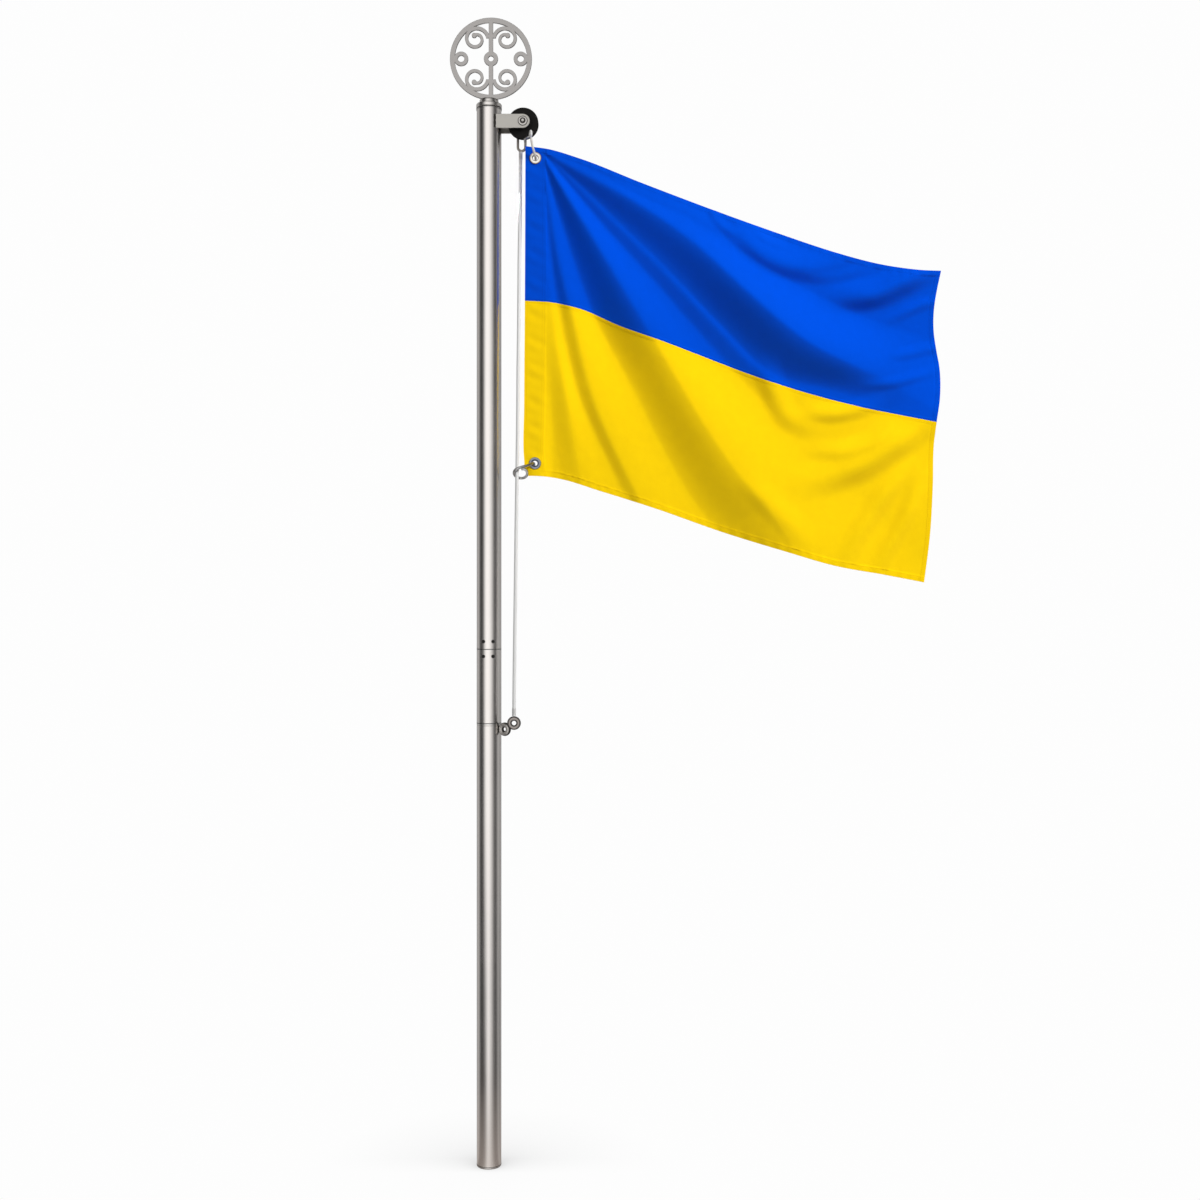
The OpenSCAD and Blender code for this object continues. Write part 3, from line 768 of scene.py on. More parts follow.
def cloth_sheet(name, columns, rows):
    """Closed sheet over the grid of u = columns and v = rows."""
    u, v = np.meshgrid(columns, rows, indexing="ij")
    x, z = outline_place(u, v)
    height = soften(cloth_height(x, z, u, v), 2)
    nearness = (eye_distance - height * MM) / eye_distance
    x = eye_x + (x * MM - eye_x) * nearness
    z = eye_height + (z * MM - eye_height) * nearness
    middle = np.stack([x, -height * MM, z], axis=-1)
    normal = np.cross(np.gradient(middle, axis=0), np.gradient(middle, axis=1))
    normal /= np.linalg.norm(normal, axis=-1, keepdims=True)
    thick = thickness(u, v)[..., None] * MM
    front, back = middle + normal * thick / 2, middle - normal * thick / 2
    if front[..., 1].mean() > back[..., 1].mean():
        front, back = back, front
    return build_sheet(name, front, back, u, v, open_cells(middle))


def soften(height, times):
    """Rounds creases off: each pass takes the mean with the neighbours."""
    for _ in range(times):
        edged = np.pad(height, 1, mode="reflect", reflect_type="odd")
        height = (4 * height + edged[2:, 1:-1] + edged[:-2, 1:-1] + edged[1:-1, 2:]
                  + edged[1:-1, :-2]) / 8
    return height


def thickness(u, v):
    """Thickness in millimetres: more in the header, the hems and the seam between the stripes."""
    across, down = u * flat_length, v * flat_height
    folded = ((across < header_end) | (across > flat_length - hem_w) | (down < hem_w)
              | (down > flat_height - hem_w) | (abs(down - flat_height / 2) < hem_w / 2))
    return np.where(folded, hem_t, cloth_t)


def open_cells(middle):
    """True for cells that exist, false under the grommets' barrels."""
    centre = (middle[1:, 1:] + middle[:-1, :-1]) / 2
    kept = np.ones(centre.shape[:2], bool)
    for grommet in ("grommet_top", "grommet_low"):
        low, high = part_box(grommet)
        gx, gz = (low[0] + high[0]) / 2, (low[2] + high[2]) / 2
        hole = (high[0] - low[0]) * 0.36
        kept &= np.hypot(centre[..., 0] - gx, centre[..., 2] - gz) > hole
    return kept


def build_sheet(name, front, back, u, v, kept):
    nu, nv = u.shape
    number = np.arange(nu * nv).reshape(nu, nv)
    shift = nu * nv
    quads = []
    for i in range(nu - 1):
        for j in range(nv - 1):
            if not kept[i, j]:
                continue
            a, b = int(number[i, j]), int(number[i + 1, j])
            c, d = int(number[i + 1, j + 1]), int(number[i, j + 1])
            quads.append((a, d, c, b))
            quads.append((a + shift, b + shift, c + shift, d + shift))
            for p, q, oi, oj in ((a, b, i, j - 1), (b, c, i + 1, j), (c, d, i, j + 1), (d, a, i - 1, j)):
                outside = oi < 0 or oj < 0 or oi >= nu - 1 or oj >= nv - 1
                if outside or not kept[oi, oj]:
                    quads.append((p, q, q + shift, p + shift))
    points = np.concatenate([front.reshape(-1, 3), back.reshape(-1, 3)])
    piece = mesh_piece(name, points.tolist(), quads)
    layer = piece.data.uv_layers.new(name="flat_cloth")
    corner = np.empty(len(piece.data.loops), int)
    piece.data.loops.foreach_get("vertex_index", corner)
    flat = np.stack([u.ravel()[corner % shift] * flat_length,
                     (1 - v.ravel()[corner % shift]) * flat_height], axis=-1)
    layer.data.foreach_set("uv", flat.ravel())
    clean = bmesh.new()
    clean.from_mesh(piece.data)
    bmesh.ops.delete(clean, geom=[p for p in clean.verts if not p.link_faces], context="VERTS")
    bmesh.ops.recalc_face_normals(clean, faces=clean.faces)
    clean.to_mesh(piece.data)
    clean.free()
    return piece


def grid_lines(low, high, steps, marks):
    """Even lines from low to high, with a close pair of lines at each mark where hems step."""
    lines = set(np.linspace(low, high, steps + 1).round(6))
    for mark in marks:
        if low < mark < high:
            lines |= {round(mark - 0.0006, 6), round(mark + 0.0006, 6)}
    return np.array(sorted(lines))


columns = grid_lines(0, 1, 236, [header_end / flat_length, 1 - hem_w / flat_length])
upper_rows = grid_lines(0, 0.5, 84, [hem_w / flat_height, 0.5 - hem_w / 2 / flat_height])
lower_rows = grid_lines(0.5, 1, 84, [0.5 + hem_w / 2 / flat_height, 1 - hem_w / flat_height])
blue_cloth = cloth_sheet("flag_blue_cloth", columns, upper_rows)
yellow_cloth = cloth_sheet("flag_yellow_cloth", columns, lower_rows)
for stripe in (blue_cloth, yellow_cloth):
    smooth(stripe, 50)
    settle(stripe)

# %% [markdown]
# ## Cloth, hems and stitches
# Flag polyester is woven, so its colour is even but never flat: threads differ a little, and the
# weave gives a fine relief and a faint sheen at a low angle. The stitches run at a fixed distance
# from the edges. A UV map in metres of flat cloth makes that easy: a line of stitches is where the
# map's x or y has one value, cut into dashes along the other.

# %% Cloth material
stitch_pitch = 3.2 * MM
stitch_w = 0.9 * MM


def stitch_line(tree, across, along, place):
    """1 on the dashes of a line of stitches where across has the value of place."""
    away = math_node(tree, "ABSOLUTE", math_node(tree, "SUBTRACT", across, place))
    line = math_node(tree, "LESS_THAN", away, stitch_w / 2)
    wave = math_node(tree, "SINE", math_node(tree, "MULTIPLY", along, 2 * math.pi / stitch_pitch))
    return math_node(tree, "MULTIPLY", line, math_node(tree, "GREATER_THAN", wave, -0.4))


def flag_cloth(name, tint, thread):
    material, tree, cloth = new_material(name)
    cloth.inputs["Specular IOR Level"].default_value = 0.035
    uv = new_node(tree, "ShaderNodeUVMap", uv_map="flat_cloth")
    split = tree.nodes.new("ShaderNodeSeparateXYZ")
    tree.links.new(uv.outputs[0], split.inputs[0])
    x, y = split.outputs[0], split.outputs[1]
    stitches = None
    for across, along, place in (
            (x, y, header_end - 3 * MM), (x, y, header_end - 8 * MM), (x, y, 5 * MM),
            (x, y, flat_length - hem_w + 2 * MM), (x, y, flat_length - hem_w + 5.5 * MM),
            (y, x, flat_height - hem_w + 2 * MM), (y, x, hem_w - 2 * MM),
            (y, x, flat_height / 2 + 3 * MM), (y, x, flat_height / 2 - 3 * MM)):
        line = stitch_line(tree, across, along, place)
        stitches = line if stitches is None else math_node(tree, "MAXIMUM", stitches, line)
    fine = 2 * math.pi / (1.1 * MM)
    warp = math_node(tree, "SINE", math_node(tree, "MULTIPLY", x, fine))
    weft = math_node(tree, "SINE", math_node(tree, "MULTIPLY", y, fine))
    weave = math_node(tree, "MULTIPLY", warp, weft)
    slub = noise(tree, uv.outputs[0], 55, 5, 0.6)
    colour = blend(tree, slub, scaled(tint, 0.93), tuple(min(c * 1.05, 1) for c in tint))
    sewn = blend(tree, math_node(tree, "MULTIPLY", stitches, 0.75), colour, thread)
    relief = math_node(tree, "ADD", math_node(tree, "MULTIPLY", weave, 0.12),
                       math_node(tree, "MULTIPLY", stitches, 0.8))
    relief = math_node(tree, "ADD", relief, math_node(tree, "MULTIPLY", slub, 0.5))
    dress(tree, cloth, sewn, ranged(tree, slub, 0, 1, 0.46, 0.58), relief, 0.3, 0.4 * MM)
    return material


blue_polyester = flag_cloth("blue_polyester", (0, 0.067, 0.605), (0, 0.046, 0.43))
yellow_polyester = flag_cloth("yellow_polyester", (0.99, 0.64, 0.003), (0.80, 0.44, 0.001))
blue_cloth.data.materials.append(blue_polyester)
yellow_cloth.data.materials.append(yellow_polyester)
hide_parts("flag_blue", "flag_header")
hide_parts("flag_yellow")
for stripe in (blue_cloth, yellow_cloth):
    print(stripe.name, [round(d, 3) for d in stripe.dimensions])
# %% [markdown]
# ## Turning a profile
# Grommets, rings, seams and weld beads are all round about an axis. In a workshop they are turned
# or rolled. In Blender the same is a spin: a closed outline is laid beside the axis and carried
# once round it. The start and the end of the spin meet, so their doubles are merged, and the
# normals are worked out again, because a spin can turn a shape inside out.

# %% Spin helper
def spun(name, outline, centre, axis, steps=72):
    """Closed ring. outline holds points (distance from the axis, place along it) in millimetres."""
    axis = Vector(axis).normalized()
    centre = Vector(centre)
    out = axis.orthogonal().normalized()
    deselect_all()
    bpy.ops.mesh.primitive_circle_add(vertices=len(outline), radius=MM)
    ring = bpy.context.object
    ring.name = name
    for vertex, (away, along) in zip(ring.data.vertices, outline):
        vertex.co = centre + (out * away + axis * along) * MM
    bpy.ops.object.mode_set(mode="EDIT")
    bpy.ops.mesh.select_all(action="SELECT")
    bpy.ops.mesh.spin(steps=steps, angle=2 * math.pi, center=centre, axis=axis)
    bpy.ops.mesh.select_all(action="SELECT")
    bpy.ops.mesh.remove_doubles(threshold=0.002 * MM)
    bpy.ops.mesh.normals_make_consistent(inside=False)
    bpy.ops.object.mode_set(mode="OBJECT")
    return ring


def round_outline(away, along, radius, count=20, flat=1):
    """Outline of round wire. flat below 1 squeezes it along the axis."""
    turns = [2 * math.pi * k / count for k in range(count)]
    return [(away + radius * math.cos(t), along + flat * radius * math.sin(t)) for t in turns]


def middle_of(node):
    low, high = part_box(node)
    return Vector([(a + b) / 2 for a, b in zip(low, high)])


def finish_piece(piece, material, angle=40):
    piece.data.materials.append(material)
    smooth(piece, angle)
    settle(piece)

# %% [markdown]
# ## Rings of tone
# On the small round fittings, painted shade and painted highlight go in rings round the axis:
# throats, corners and outer edges are painted dark where shade would fall, and the faces that
# catch the light are painted light. So this material finds each point's distance from the axis
# and takes the colour from a ramp.

# %% Ringed metal
def ringed_metal(name, centre, axis, rings, roughness, metallic=1.0):
    """rings holds (distance from the axis in millimetres, colour)."""
    material, tree, metal = new_material(name)
    metal.inputs["Metallic"].default_value = metallic
    place = object_place(tree)
    offset = new_node(tree, "ShaderNodeVectorMath", operation="SUBTRACT")
    offset.inputs[1].default_value = tuple(centre)
    along = new_node(tree, "ShaderNodeVectorMath", operation="PROJECT")
    along.inputs[1].default_value = tuple(Vector(axis).normalized())
    across = new_node(tree, "ShaderNodeVectorMath", operation="SUBTRACT")
    away = new_node(tree, "ShaderNodeVectorMath", operation="LENGTH")
    tree.links.new(place, offset.inputs[0])
    tree.links.new(offset.outputs[0], along.inputs[0])
    tree.links.new(offset.outputs[0], across.inputs[0])
    tree.links.new(along.outputs[0], across.inputs[1])
    tree.links.new(across.outputs[0], away.inputs[0])
    reach = rings[-1][0]
    ramp = tree.nodes.new("ShaderNodeValToRGB")
    for distance, colour in rings[1:-1]:
        ramp.color_ramp.elements.new(distance / reach).color = (*colour, 1)
    ramp.color_ramp.elements[0].color = (*rings[0][1], 1)
    ramp.color_ramp.elements[-1].color = (*rings[-1][1], 1)
    tree.links.new(ranged(tree, away.outputs["Value"], 0, reach * MM, 0, 1), ramp.inputs[0])
    spots = noise(tree, place, 700, 4)
    # The ramp is painted shade and highlight, varied a little by random spots.
    ring_shade_spotted = new_node(tree, "ShaderNodeVectorMath", operation="SCALE")
    tree.links.new(ramp.outputs[0], ring_shade_spotted.inputs[0])
    tree.links.new(ranged(tree, spots, 0.3, 0.7, 0.93, 1.03), ring_shade_spotted.inputs["Scale"])
    dress(tree, metal, ring_shade_spotted.outputs[0],
          ranged(tree, spots, 0.3, 0.7, roughness - 0.06, roughness + 0.06), spots, 0.06, 0.1 * MM)
    return material

# %% [markdown]
# ## Grommets
# A grommet is two thin rings. One has a neck that goes through the cloth, and a die rolls the neck
# out over the second. So the front shows a domed ring with a rounded throat. The upper one is
# nickel-plated brass and the lower one is plain steel. On both, the throat and the outer rim are
# painted dark as painted shade: dark brown on the upper one, near black on the lower one.

# %% Grommets
grommet_outline = [
    (4.7, 0), (4.75, -1.3), (5.0, -2.1), (5.5, -2.7), (6.3, -3.0), (7.4, -3), (8.6, -2.7), (9.8, -2.2),
    (10.7, -1.7), (11, -1.2), (10.9, -0.75), (6, -0.7), (6, 0.7), (10.6, 0.75), (10.6, 1.2),
    (9.8, 1.7), (8.4, 2.1), (6.6, 2.4), (5.4, 2.2), (4.8, 1.5)]


def grommet(name, node, rings, roughness, slot):
    centre = middle_of(node)
    ring = spun(name, grommet_outline, centre, (0, 1, 0), 80)
    finish_piece(ring, ringed_metal(name + "_metal", centre, (0, 1, 0), rings, roughness, 0.6), 50)
    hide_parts(node)
    return ring


# The dark brown rings at the throat and the outer rim are painted shade; cream is the plating.
cream, painted_edge_brown = (0.96, 0.91, 0.84), (0.22, 0.12, 0.06)
grommet("grommet_upper", "grommet_top", [
    (0, painted_edge_brown), (4.9, (0.12, 0.07, 0.04)), (5.7, (0.5, 0.40, 0.30)), (6.4, cream), (8.9, cream),
    (10, (0.66, 0.53, 0.40)), (10.5, painted_edge_brown), (11, painted_edge_brown)], 0.34, "brass")
grommet("grommet_lower", "grommet_low", [
    (0, (0.05, 0.06, 0.09)), (6.2, (0.03, 0.04, 0.08)), (7.1, (0.10, 0.12, 0.18)),
    (8.1, (0.34, 0.37, 0.44)), (9.9, (0.42, 0.45, 0.5)), (10.7, (0.13, 0.15, 0.19)),
    (11, (0.1, 0.12, 0.16))], 0.33, "steel")

# %% [markdown]
# ## Clips
# The flag hangs on two bent-wire clips. The upper one is a coated hook that goes through the
# grommet and up to a small eye beside the wheel, and a strap holds that eye from under the wheel.
# The lower one is a single wire: it comes out of the grommet, goes round the rope, and closes in a
# small loop beside it. Bent wire is swept along its line. Its ends are ground round, so each sweep
# gets narrower at both ends.

# %% Clips
clip_wire = 4.2


def bent_wire(name, route, wire, material):
    """Round wire in millimetres, bent along a route, with ground ends."""
    line = smooth_route([Vector(p) * MM for p in route], 8)
    total = sum((b - a).length for a, b in zip(line, line[1:]))
    grind = wire * 0.5 * MM

    def ends(turn, along):
        inset = max(0.0, 1 - min(along, total - along) / grind)
        return -(1 - math.sqrt(max(0.0, 1 - inset * inset))) * wire / 2 * MM * 0.9

    piece = swept_tube(name, line, wire / 2 * MM, 16, ends)
    finish_piece(piece, material, 60)
    return piece


coated_wire = brushed_metal("coated_wire", (0.88, 0.84, 0.77), 0.42, all_ways, 0.05, metallic=0.35)
bright_steel = brushed_metal("bright_steel", (0.93, 0.92, 0.90), 0.4, all_ways, 0.05, metallic=0.4)
clip_steel = brushed_metal("clip_steel", (0.60, 0.59, 0.58), 0.27, all_ways, 0.06)
top_hook = bent_wire("clip_hook_upper", [
    (78, -19.2, 1875), (78.6, -17.4, 1869), (80.2, -13.9, 1861), (82.4, -9.6, 1853.2),
    (83.8, -5.8, 1848.2), (84.7, -1.2, 1845.4), (84.9, 3, 1844.8), (84.8, 6.4, 1841.2),
    (84, 6.8, 1835.2)], clip_wire, coated_wire)
top_eye = spun("clip_eye_upper", round_outline(4.7, 0, 2.4), Vector((76.9, -18.4, 1881.8)) * MM,
               (0.97, 0.24, 0))
finish_piece(top_eye, bright_steel, 60)
top_strap = bent_wire("clip_strap_upper", [
    (66.5, 13.6, 1868.5), (66.2, 10, 1869.8), (65.6, 4, 1872.6), (65.4, -4, 1873.6),
    (65.8, -10.4, 1874.8), (69, -15.4, 1875.8), (74.8, -18.2, 1877)], 3.4, clip_steel)
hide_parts("top_clip_hook")
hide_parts("top_clip_eye")
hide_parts("top_clip_strap")

low_clip = bent_wire("clip_wire_lower", [
    (82, 7.4, 1278), (82.2, 3.4, 1282.6), (81.6, -1.4, 1284.4), (79.2, -5.6, 1283.6),
    (75, -9.2, 1281.6), (69, -12.6, 1279), (61, -15.6, 1276.6), (53.4, -16.8, 1273.8),
    (48, -14.4, 1270.4), (46.2, -9.8, 1266), (48, -5, 1261.4), (52.8, -2.8, 1258.4),
    (58.6, -4.8, 1257), (64.6, -7.6, 1257.6), (69.2, -10, 1261.2), (70.3, -11.4, 1266.4),
    (68.2, -12, 1271.2), (63.6, -12.4, 1273.2), (59.4, -12.4, 1272)],
    4.8, clip_steel)
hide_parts("low_clip_rings", "low_clip_hook")

# %% [markdown]
# ## Link, whippings and rings
# The rope hangs on an oval link behind the wheel. An oval link is a round ring pulled long, and it
# is modelled that way: a torus whose upper half is moved up. The rope's ends are whipped with thin
# thread, which is a sweep whose radius goes in and out once for every turn of the thread. At the
# foot the rope is tied to a thick ring, and that ring is brazed to an eye on the pole.

# %% Link and whippings
def oval_link(name, node, outer_w, wire):
    low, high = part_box(node)
    centre = middle_of(node) - Vector((1.2 * MM, 0, 0))
    half = (outer_w - wire) / 2 * MM
    deselect_all()
    bpy.ops.mesh.primitive_torus_add(
        location=(centre.x, centre.y, low[2] + half + wire / 2 * MM), rotation=(math.pi / 2, 0, 0),
        major_segments=46, minor_segments=16, major_radius=half, minor_radius=wire / 2 * MM)
    link = bpy.context.object
    link.name = name
    bpy.ops.object.transform_apply(location=True, rotation=True, scale=True)
    middle = low[2] + half + wire / 2 * MM
    select_where(link, lambda place: place.z > middle)
    bpy.ops.transform.translate(value=(0, 0, high[2] - low[2] - outer_w * MM))
    bpy.ops.object.mode_set(mode="OBJECT")
    return link


def select_where(piece, wanted):
    """Goes to edit mode with the vertices selected whose place is wanted."""
    bpy.ops.object.mode_set(mode="EDIT")
    bpy.ops.mesh.select_mode(type="VERT")
    shape = bmesh.from_edit_mesh(piece.data)
    for vertex in shape.verts:
        vertex.select_set(wanted(vertex.co))
    shape.select_flush_mode()
    bmesh.update_edit_mesh(piece.data)


link_steel = brushed_metal("link_steel", (0.36, 0.325, 0.29), 0.4, all_ways, 0.12)
link = oval_link("rope_link", "becket_link", 18.4, 4.6)
finish_piece(link, link_steel, 60)
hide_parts("becket_link")


def whipping(name, line, node):
    turns_per_m = 1 / (0.8 * MM)

    def thread(turn, along):
        return 0.12 * MM * math.cos(2 * math.pi * (along * turns_per_m - turn))

    tube = swept_tube(name, line, rope_d / 2 + 0.35 * MM, 20, thread)
    finish_piece(tube, whipping_thread, 60)
    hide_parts(node)


def straight(start, end, steps=90):
    return [start.lerp(end, k / steps) for k in range(steps + 1)]


for name, node, end, way in [
        ("whipping_upper", "ferrule_top", rope_line[0], (rope_line[0] - rope_line[1]).normalized()),
        ("whipping_lower", "ferrule_bottom", rope_line[-1], (rope_line[-1] - rope_line[-2]).normalized())]:
    whipping(name, straight(end - way * 2 * MM, end + way * 11.6 * MM), node)

# %% Tie ring and eye
# Rings painted dark at the wire's edges and light along its middle: painted shade and highlight.
painted_ring_shade = (0.08, 0.074, 0.068)
tie_centre, eye_centre = middle_of("tie_ring"), middle_of("eye_ring")
eye_turn = math.radians(-30)
eye_way = Vector((math.cos(eye_turn), math.sin(eye_turn), 0))
eye_axis = eye_way.cross(Vector((0, 0, 1)))
for name, node, centre, axis, away, wire_r, painted_ring_highlight in [
        ("rope_tie_ring", "tie_ring", tie_centre, Vector((0, 1, 0)), 8.2, 4.2, (0.36, 0.325, 0.3)),
        ("pole_eye", "eye_ring", eye_centre, eye_axis, 7.7, 4.7, (0.72, 0.68, 0.64))]:
    rings = [(0, painted_ring_shade), (away - wire_r + 0.9, painted_ring_shade), (away - 1.2, painted_ring_highlight),
             (away + 1.4, painted_ring_highlight), (away + wire_r - 0.7, painted_ring_shade), (away + wire_r, painted_ring_shade)]
    ring = spun(name, round_outline(away, 0, wire_r, 24), centre, axis)
    finish_piece(ring, ringed_metal(name + "_metal", centre, axis, rings, 0.36, 0.75), 60)
    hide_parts(node)

# %% [markdown]
# ## Seams of the pole
# The pole is made of three lengths of tube. Where two lengths meet, the edges are broken with a
# file, and the narrow gap lies in shade, so a fine dark line goes round the pole. That line is
# painted shade: a shallow near-black band that stands in the gap, with the tubes' bright edges on
# both sides.

# %% Seams
def painted_gap_material(name):
    material, tree, gap = new_material(name)
    gap.inputs["Specular IOR Level"].default_value = 0.2
    # The gap's colour is near black, painted shade, varied a little by random speckle.
    gap_speckle = noise(tree, object_place(tree), 260, 4)
    dress(tree, gap, blend(tree, gap_speckle, (0.012, 0.011, 0.010), (0.06, 0.055, 0.05)),
          ranged(tree, gap_speckle, 0, 1, 0.5, 0.8), gap_speckle, 0.3, 0.1 * MM)
    return material


painted_gap_shade = painted_gap_material("painted_gap_shade")
edge_steel = brushed_metal("edge_steel", (0.86, 0.84, 0.82), 0.24, (120, 120, 2500))
tube_r = pole_r / MM


def pole_seam(name, z, gap_h, tube_r=tube_r):
    """Painted shade in the gap, as a near-black band, with a bright broken edge below it."""
    low, high = -gap_h / 2, gap_h / 2
    gap = spun(name + "_gap", [(tube_r - 0.4, low), (tube_r + 0.06, low), (tube_r + 0.1, 0),
                               (tube_r + 0.06, high), (tube_r - 0.4, high)], (0, 0, z), (0, 0, 1), 96)
    finish_piece(gap, painted_gap_shade)
    edge = spun(name + "_edge", [(tube_r - 0.4, low - 1.1), (tube_r + 0.03, low - 1.1),
                                 (tube_r + 0.12, low - 0.7), (tube_r + 0.12, low - 0.3),
                                 (tube_r + 0.02, low), (tube_r - 0.4, low)], (0, 0, z), (0, 0, 1), 96)
    finish_piece(edge, edge_steel)


pole_seam("screwed_joint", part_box("upper_tube")[0][2], 1.3)
pole_seam("lower_seam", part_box("middle_tube")[0][2], 1.2)
pole_seam("foot_seam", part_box("lower_tube")[0][2], 0.9)
collar_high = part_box("top_collar")[1]
pole_seam("collar_lip", collar_high[2] - 9 * MM, 1.4, collar_high[0] / MM)

# %% [markdown]
# ## Finial neck
# The neck is a short turned tube that carries the finial. A small bead at its foot hides the weld.
# Its whole outline is drawn once, beside the axis, and spun.

# %% Finial neck
neck_low, neck_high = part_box("finial_neck")
neck_h = (neck_high[2] - neck_low[2]) / MM
neck_r = 17.2
neck_outline = [(12, 0.05), (neck_r + 0.8, 0.05), (neck_r + 1.1, 0.6), (neck_r + 0.9, 1.3),
                (neck_r, 1.7), (neck_r, neck_h - 1.6), (neck_r - 0.4, neck_h - 0.8),
                (neck_r - 1.4, neck_h - 0.2), (neck_r - 2.4, neck_h), (12, neck_h)]
neck = spun("turned_neck", neck_outline, (0, 0, neck_low[2]), (0, 0, 1), 96)
finish_piece(neck, turned_steel, 35)
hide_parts("finial_neck")

# %% [markdown]
# ## Weld beads
# The bracket's two plates, the eye and the neck of the finial are welded to the pole. A weld bead
# is a chain of small overlapping drops, 4 mm wide on the bracket. A sweep whose radius swells a
# little at every drop gives that. The beads are painted nearly black: painted shade for the dark
# line where each part meets the pole, and beside the plates the painted reflection of the plate's
# end in the tube.

# %% Weld beads
# Near black: painted shade and reflection along the joints with the pole.
bead_painted_shade = brushed_metal("bead_painted_shade", (0.06, 0.055, 0.05), 0.45, all_ways, 0.2)


drop_pitch = 1.5 * MM


def weld_bead(name, route, width):
    line = smooth_route([Vector(p) * MM for p in route], 10)
    drops = 2 * math.pi / drop_pitch

    def swell(turn, along):
        return 0.09 * width * MM * math.sin(drops * along)

    bead = swept_tube(name, line, width / 2 * MM, 12, swell)
    finish_piece(bead, bead_painted_shade, 60)
    return bead


def plate_bead(name, node, outer_y):
    """Bead down the line where a bracket plate's outer face meets the tube."""
    low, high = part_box(node)
    y = outer_y / MM * 1.04
    x = math.sqrt(tube_r ** 2 - y ** 2)
    bottom, top = low[2] / MM + 1, high[2] / MM - 1
    return weld_bead(name, [(x, y, bottom), (x, y, bottom + (top - bottom) * 0.5), (x, y, top)], 4)


plate_bead("bracket_weld_front", "cheek_front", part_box("cheek_front")[0][1])
plate_bead("bracket_weld_rear", "cheek_rear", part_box("cheek_rear")[1][1])


def ring_bead(name, centre, axis, radius, width):
    """Bead all the way round, as a spun ring of slightly flattened wire."""
    bead = spun(name, round_outline(radius, 0, width / 2, 14, 0.8), centre, axis, 96)
    finish_piece(bead, bead_painted_shade, 60)
    return bead


ring_bead("eye_weld", eye_way * (pole_r + 0.2 * MM) + Vector((0, 0, 799.5 * MM)), eye_way, 4.2, 2.4)
ring_bead("neck_weld", (0, 0, neck_low[2]), (0, 0, 1), neck_r + 1, 1.2)

# %% [markdown]
# ## Bracket plates
# The two plates are flat bar with a rounded end. Their edges are ground, which leaves a narrow
# bright or dark line all round. The shape comes from the frame's own plate: its doubles are merged,
# its flat faces are made whole again, and every sharp edge gets a small bevel.

# %% Bracket plates
def ground_plate(name, node, width):
    deselect_all()
    source = bpy.data.objects[node]
    plate = source.copy()
    plate.data = source.data.copy()
    plate.name = name
    bpy.context.scene.collection.objects.link(plate)
    plate.hide_render = False
    bpy.context.view_layer.objects.active = plate
    plate.select_set(True)
    bpy.ops.object.mode_set(mode="EDIT")
    bpy.ops.mesh.select_all(action="SELECT")
    bpy.ops.mesh.remove_doubles(threshold=0.005 * MM)
    bpy.ops.mesh.customdata_custom_splitnormals_clear()
    bpy.ops.mesh.dissolve_limited(angle_limit=math.radians(1))
    bpy.ops.object.mode_set(mode="OBJECT")
    edge = plate.modifiers.new("ground_edge", "BEVEL")
    edge.width = width
    edge.segments = 3
    edge.limit_method = "ANGLE"
    edge.angle_limit = math.radians(50)
    edge.use_clamp_overlap = False
    bpy.ops.object.modifier_apply(modifier=edge.name)
    plate.data.materials.clear()
    return plate


for name, node, finish, slot in [
        ("bracket_plate_front", "cheek_front", bracket_steel, "steel"),
        ("bracket_plate_rear", "cheek_rear", bracket_steel, "steel"),
        ("finial_openwork", "finial_plate", plate_steel, "satin_steel")]:
    plate = ground_plate(name, node, 0.6 * MM)
    finish_piece(plate, finish, 40)
    even = plate.modifiers.new("even_shading", "WEIGHTED_NORMAL")
    even.keep_sharp = True
    bpy.ops.object.modifier_apply(modifier=even.name)
    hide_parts(node)
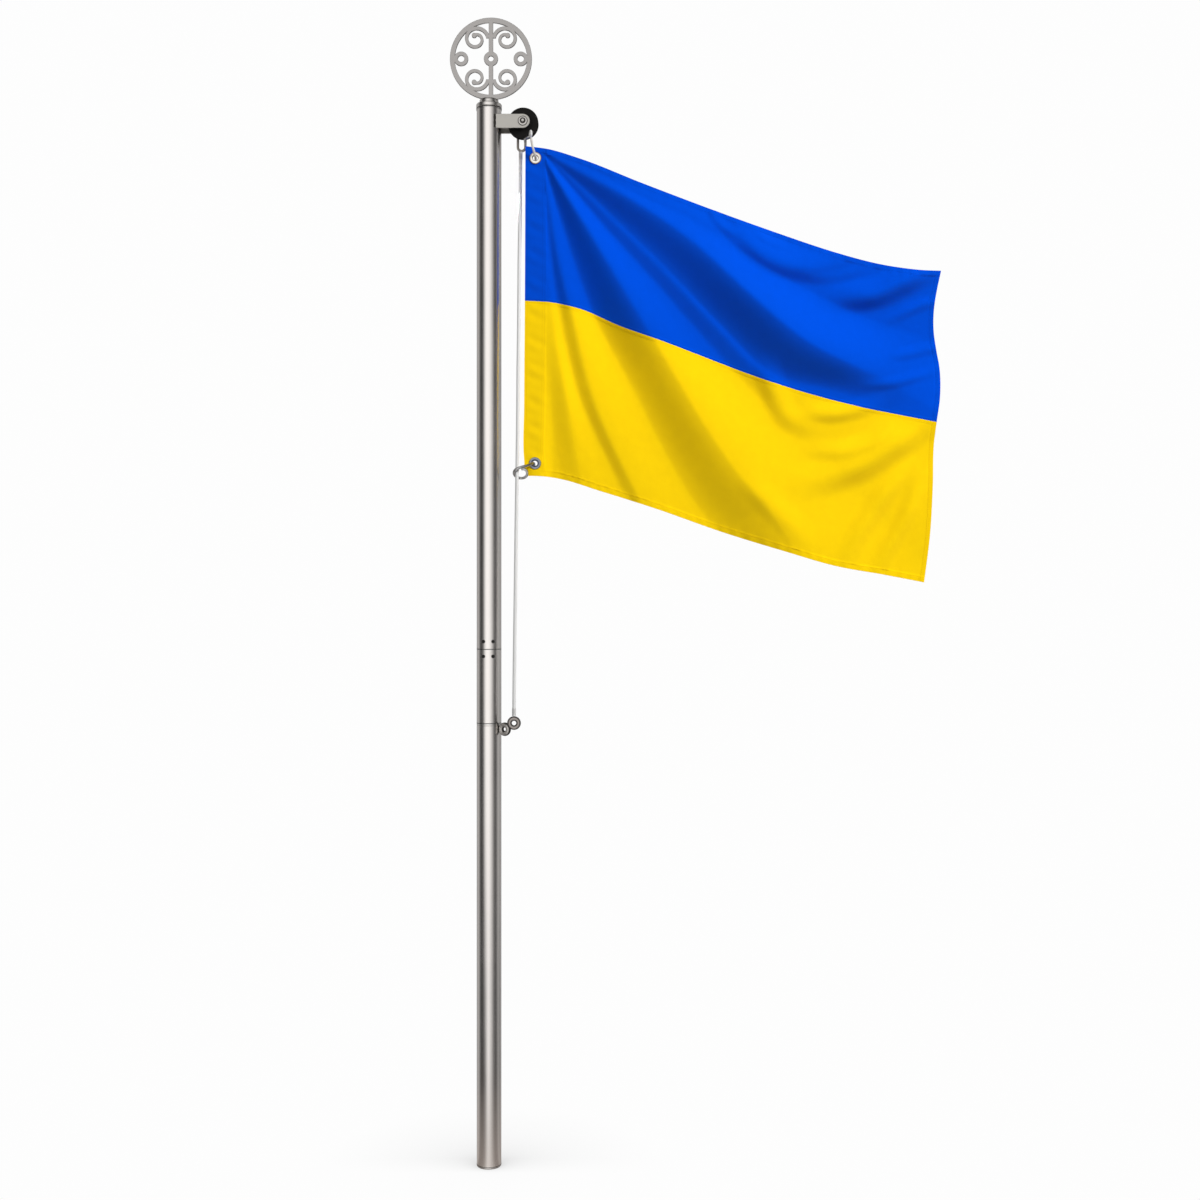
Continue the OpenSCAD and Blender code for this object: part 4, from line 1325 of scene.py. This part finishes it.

# %% [markdown]
# ## The axle
# The wheel turns on a pin with a low domed head. A lathe leaves a dimple in the middle of the dome.
# The head's sloping shoulder and the washers' outer edges are painted near black as painted shade,
# against the light faces of the dome and the washers. The pin is modelled from a cylinder: its end
# face is extruded and resized step by step, which draws the head's profile.

# %% Axle pin and washers
def end_face_steps(piece, facing, steps, radius):
    """Extrudes the end face along Y. steps holds (new radius, place along Y) in millimetres."""
    bpy.ops.object.mode_set(mode="EDIT")
    bpy.ops.mesh.select_mode(type="FACE")
    shape = bmesh.from_edit_mesh(piece.data)
    for face in shape.faces:
        face.select_set(abs(face.normal.y - facing) < 0.01)
    bmesh.update_edit_mesh(piece.data)
    depth = 0.0
    for new_radius, new_depth in steps:
        bpy.ops.mesh.extrude_region_move(
            TRANSFORM_OT_translate={"value": (0, (new_depth - depth) * MM, 0)})
        factor = new_radius / radius
        bpy.ops.transform.resize(value=(factor, 1, factor))
        radius, depth = new_radius, new_depth
    bpy.ops.mesh.select_all(action="SELECT")
    bpy.ops.mesh.normals_make_consistent(inside=False)
    bpy.ops.object.mode_set(mode="OBJECT")


def axle_pin(name, centre, front, back):
    deselect_all()
    bpy.ops.mesh.primitive_cylinder_add(
        vertices=48, radius=4 * MM, depth=back - front,
        location=(centre.x, (front + back) / 2, centre.z), rotation=(math.pi / 2, 0, 0))
    pin = bpy.context.object
    pin.name = name
    bpy.ops.object.transform_apply(location=True, rotation=True, scale=True)
    end_face_steps(pin, -1, [(5.1, -0.05), (5.3, -0.5), (5.2, -1.6), (4.7, -2.4), (3.8, -2.9),
                             (2.6, -3.15), (1.5, -3.2), (0.8, -2.9)], 4.0)
    return pin


axle_centre = middle_of("axle_bolt")
washer_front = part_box("washer_front")
# Near black on the dome's shoulder and the washers' outer edge: painted shade; light elsewhere.
pin_shade_rings = [(0, (0.6, 0.58, 0.55)), (1.8, (0.55, 0.53, 0.5)), (2.8, (0.06, 0.055, 0.05)),
             (4.8, (0.05, 0.045, 0.04)), (5.6, (0.62, 0.59, 0.56)), (7.2, (0.68, 0.65, 0.62)),
             (7.9, (0.06, 0.055, 0.05)), (9, (0.06, 0.055, 0.05))]
pin_metal = ringed_metal("axle_metal", axle_centre, (0, 1, 0), pin_shade_rings, 0.34, 0.8)
axle = axle_pin("axle_pin", axle_centre, washer_front[0][1] - 0.2 * MM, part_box("axle_bolt")[1][1])
finish_piece(axle, pin_metal, 35)
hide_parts("axle_bolt")
washer_outline = [(4.1, -0.7), (8.2, -0.75), (8.75, -0.4), (8.9, 0.1), (8.75, 0.6), (4.1, 0.6)]
for name, node in [("pin_washer_front", "washer_front"), ("pin_washer_rear", "washer_rear")]:
    washer = spun(name, washer_outline, middle_of(node), (0, 1, 0), 64)
    finish_piece(washer, pin_metal, 35)
    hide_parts(node)
# %% [markdown]
# ## The frame's size
# The cloth may stand a little proud of the frame's box, and nothing else does. The frame's box is
# printed, so that it can be compared after each change.

# %% Sizes
print("box before", [round(c, 4) for c in (*cad_low, *cad_high)])
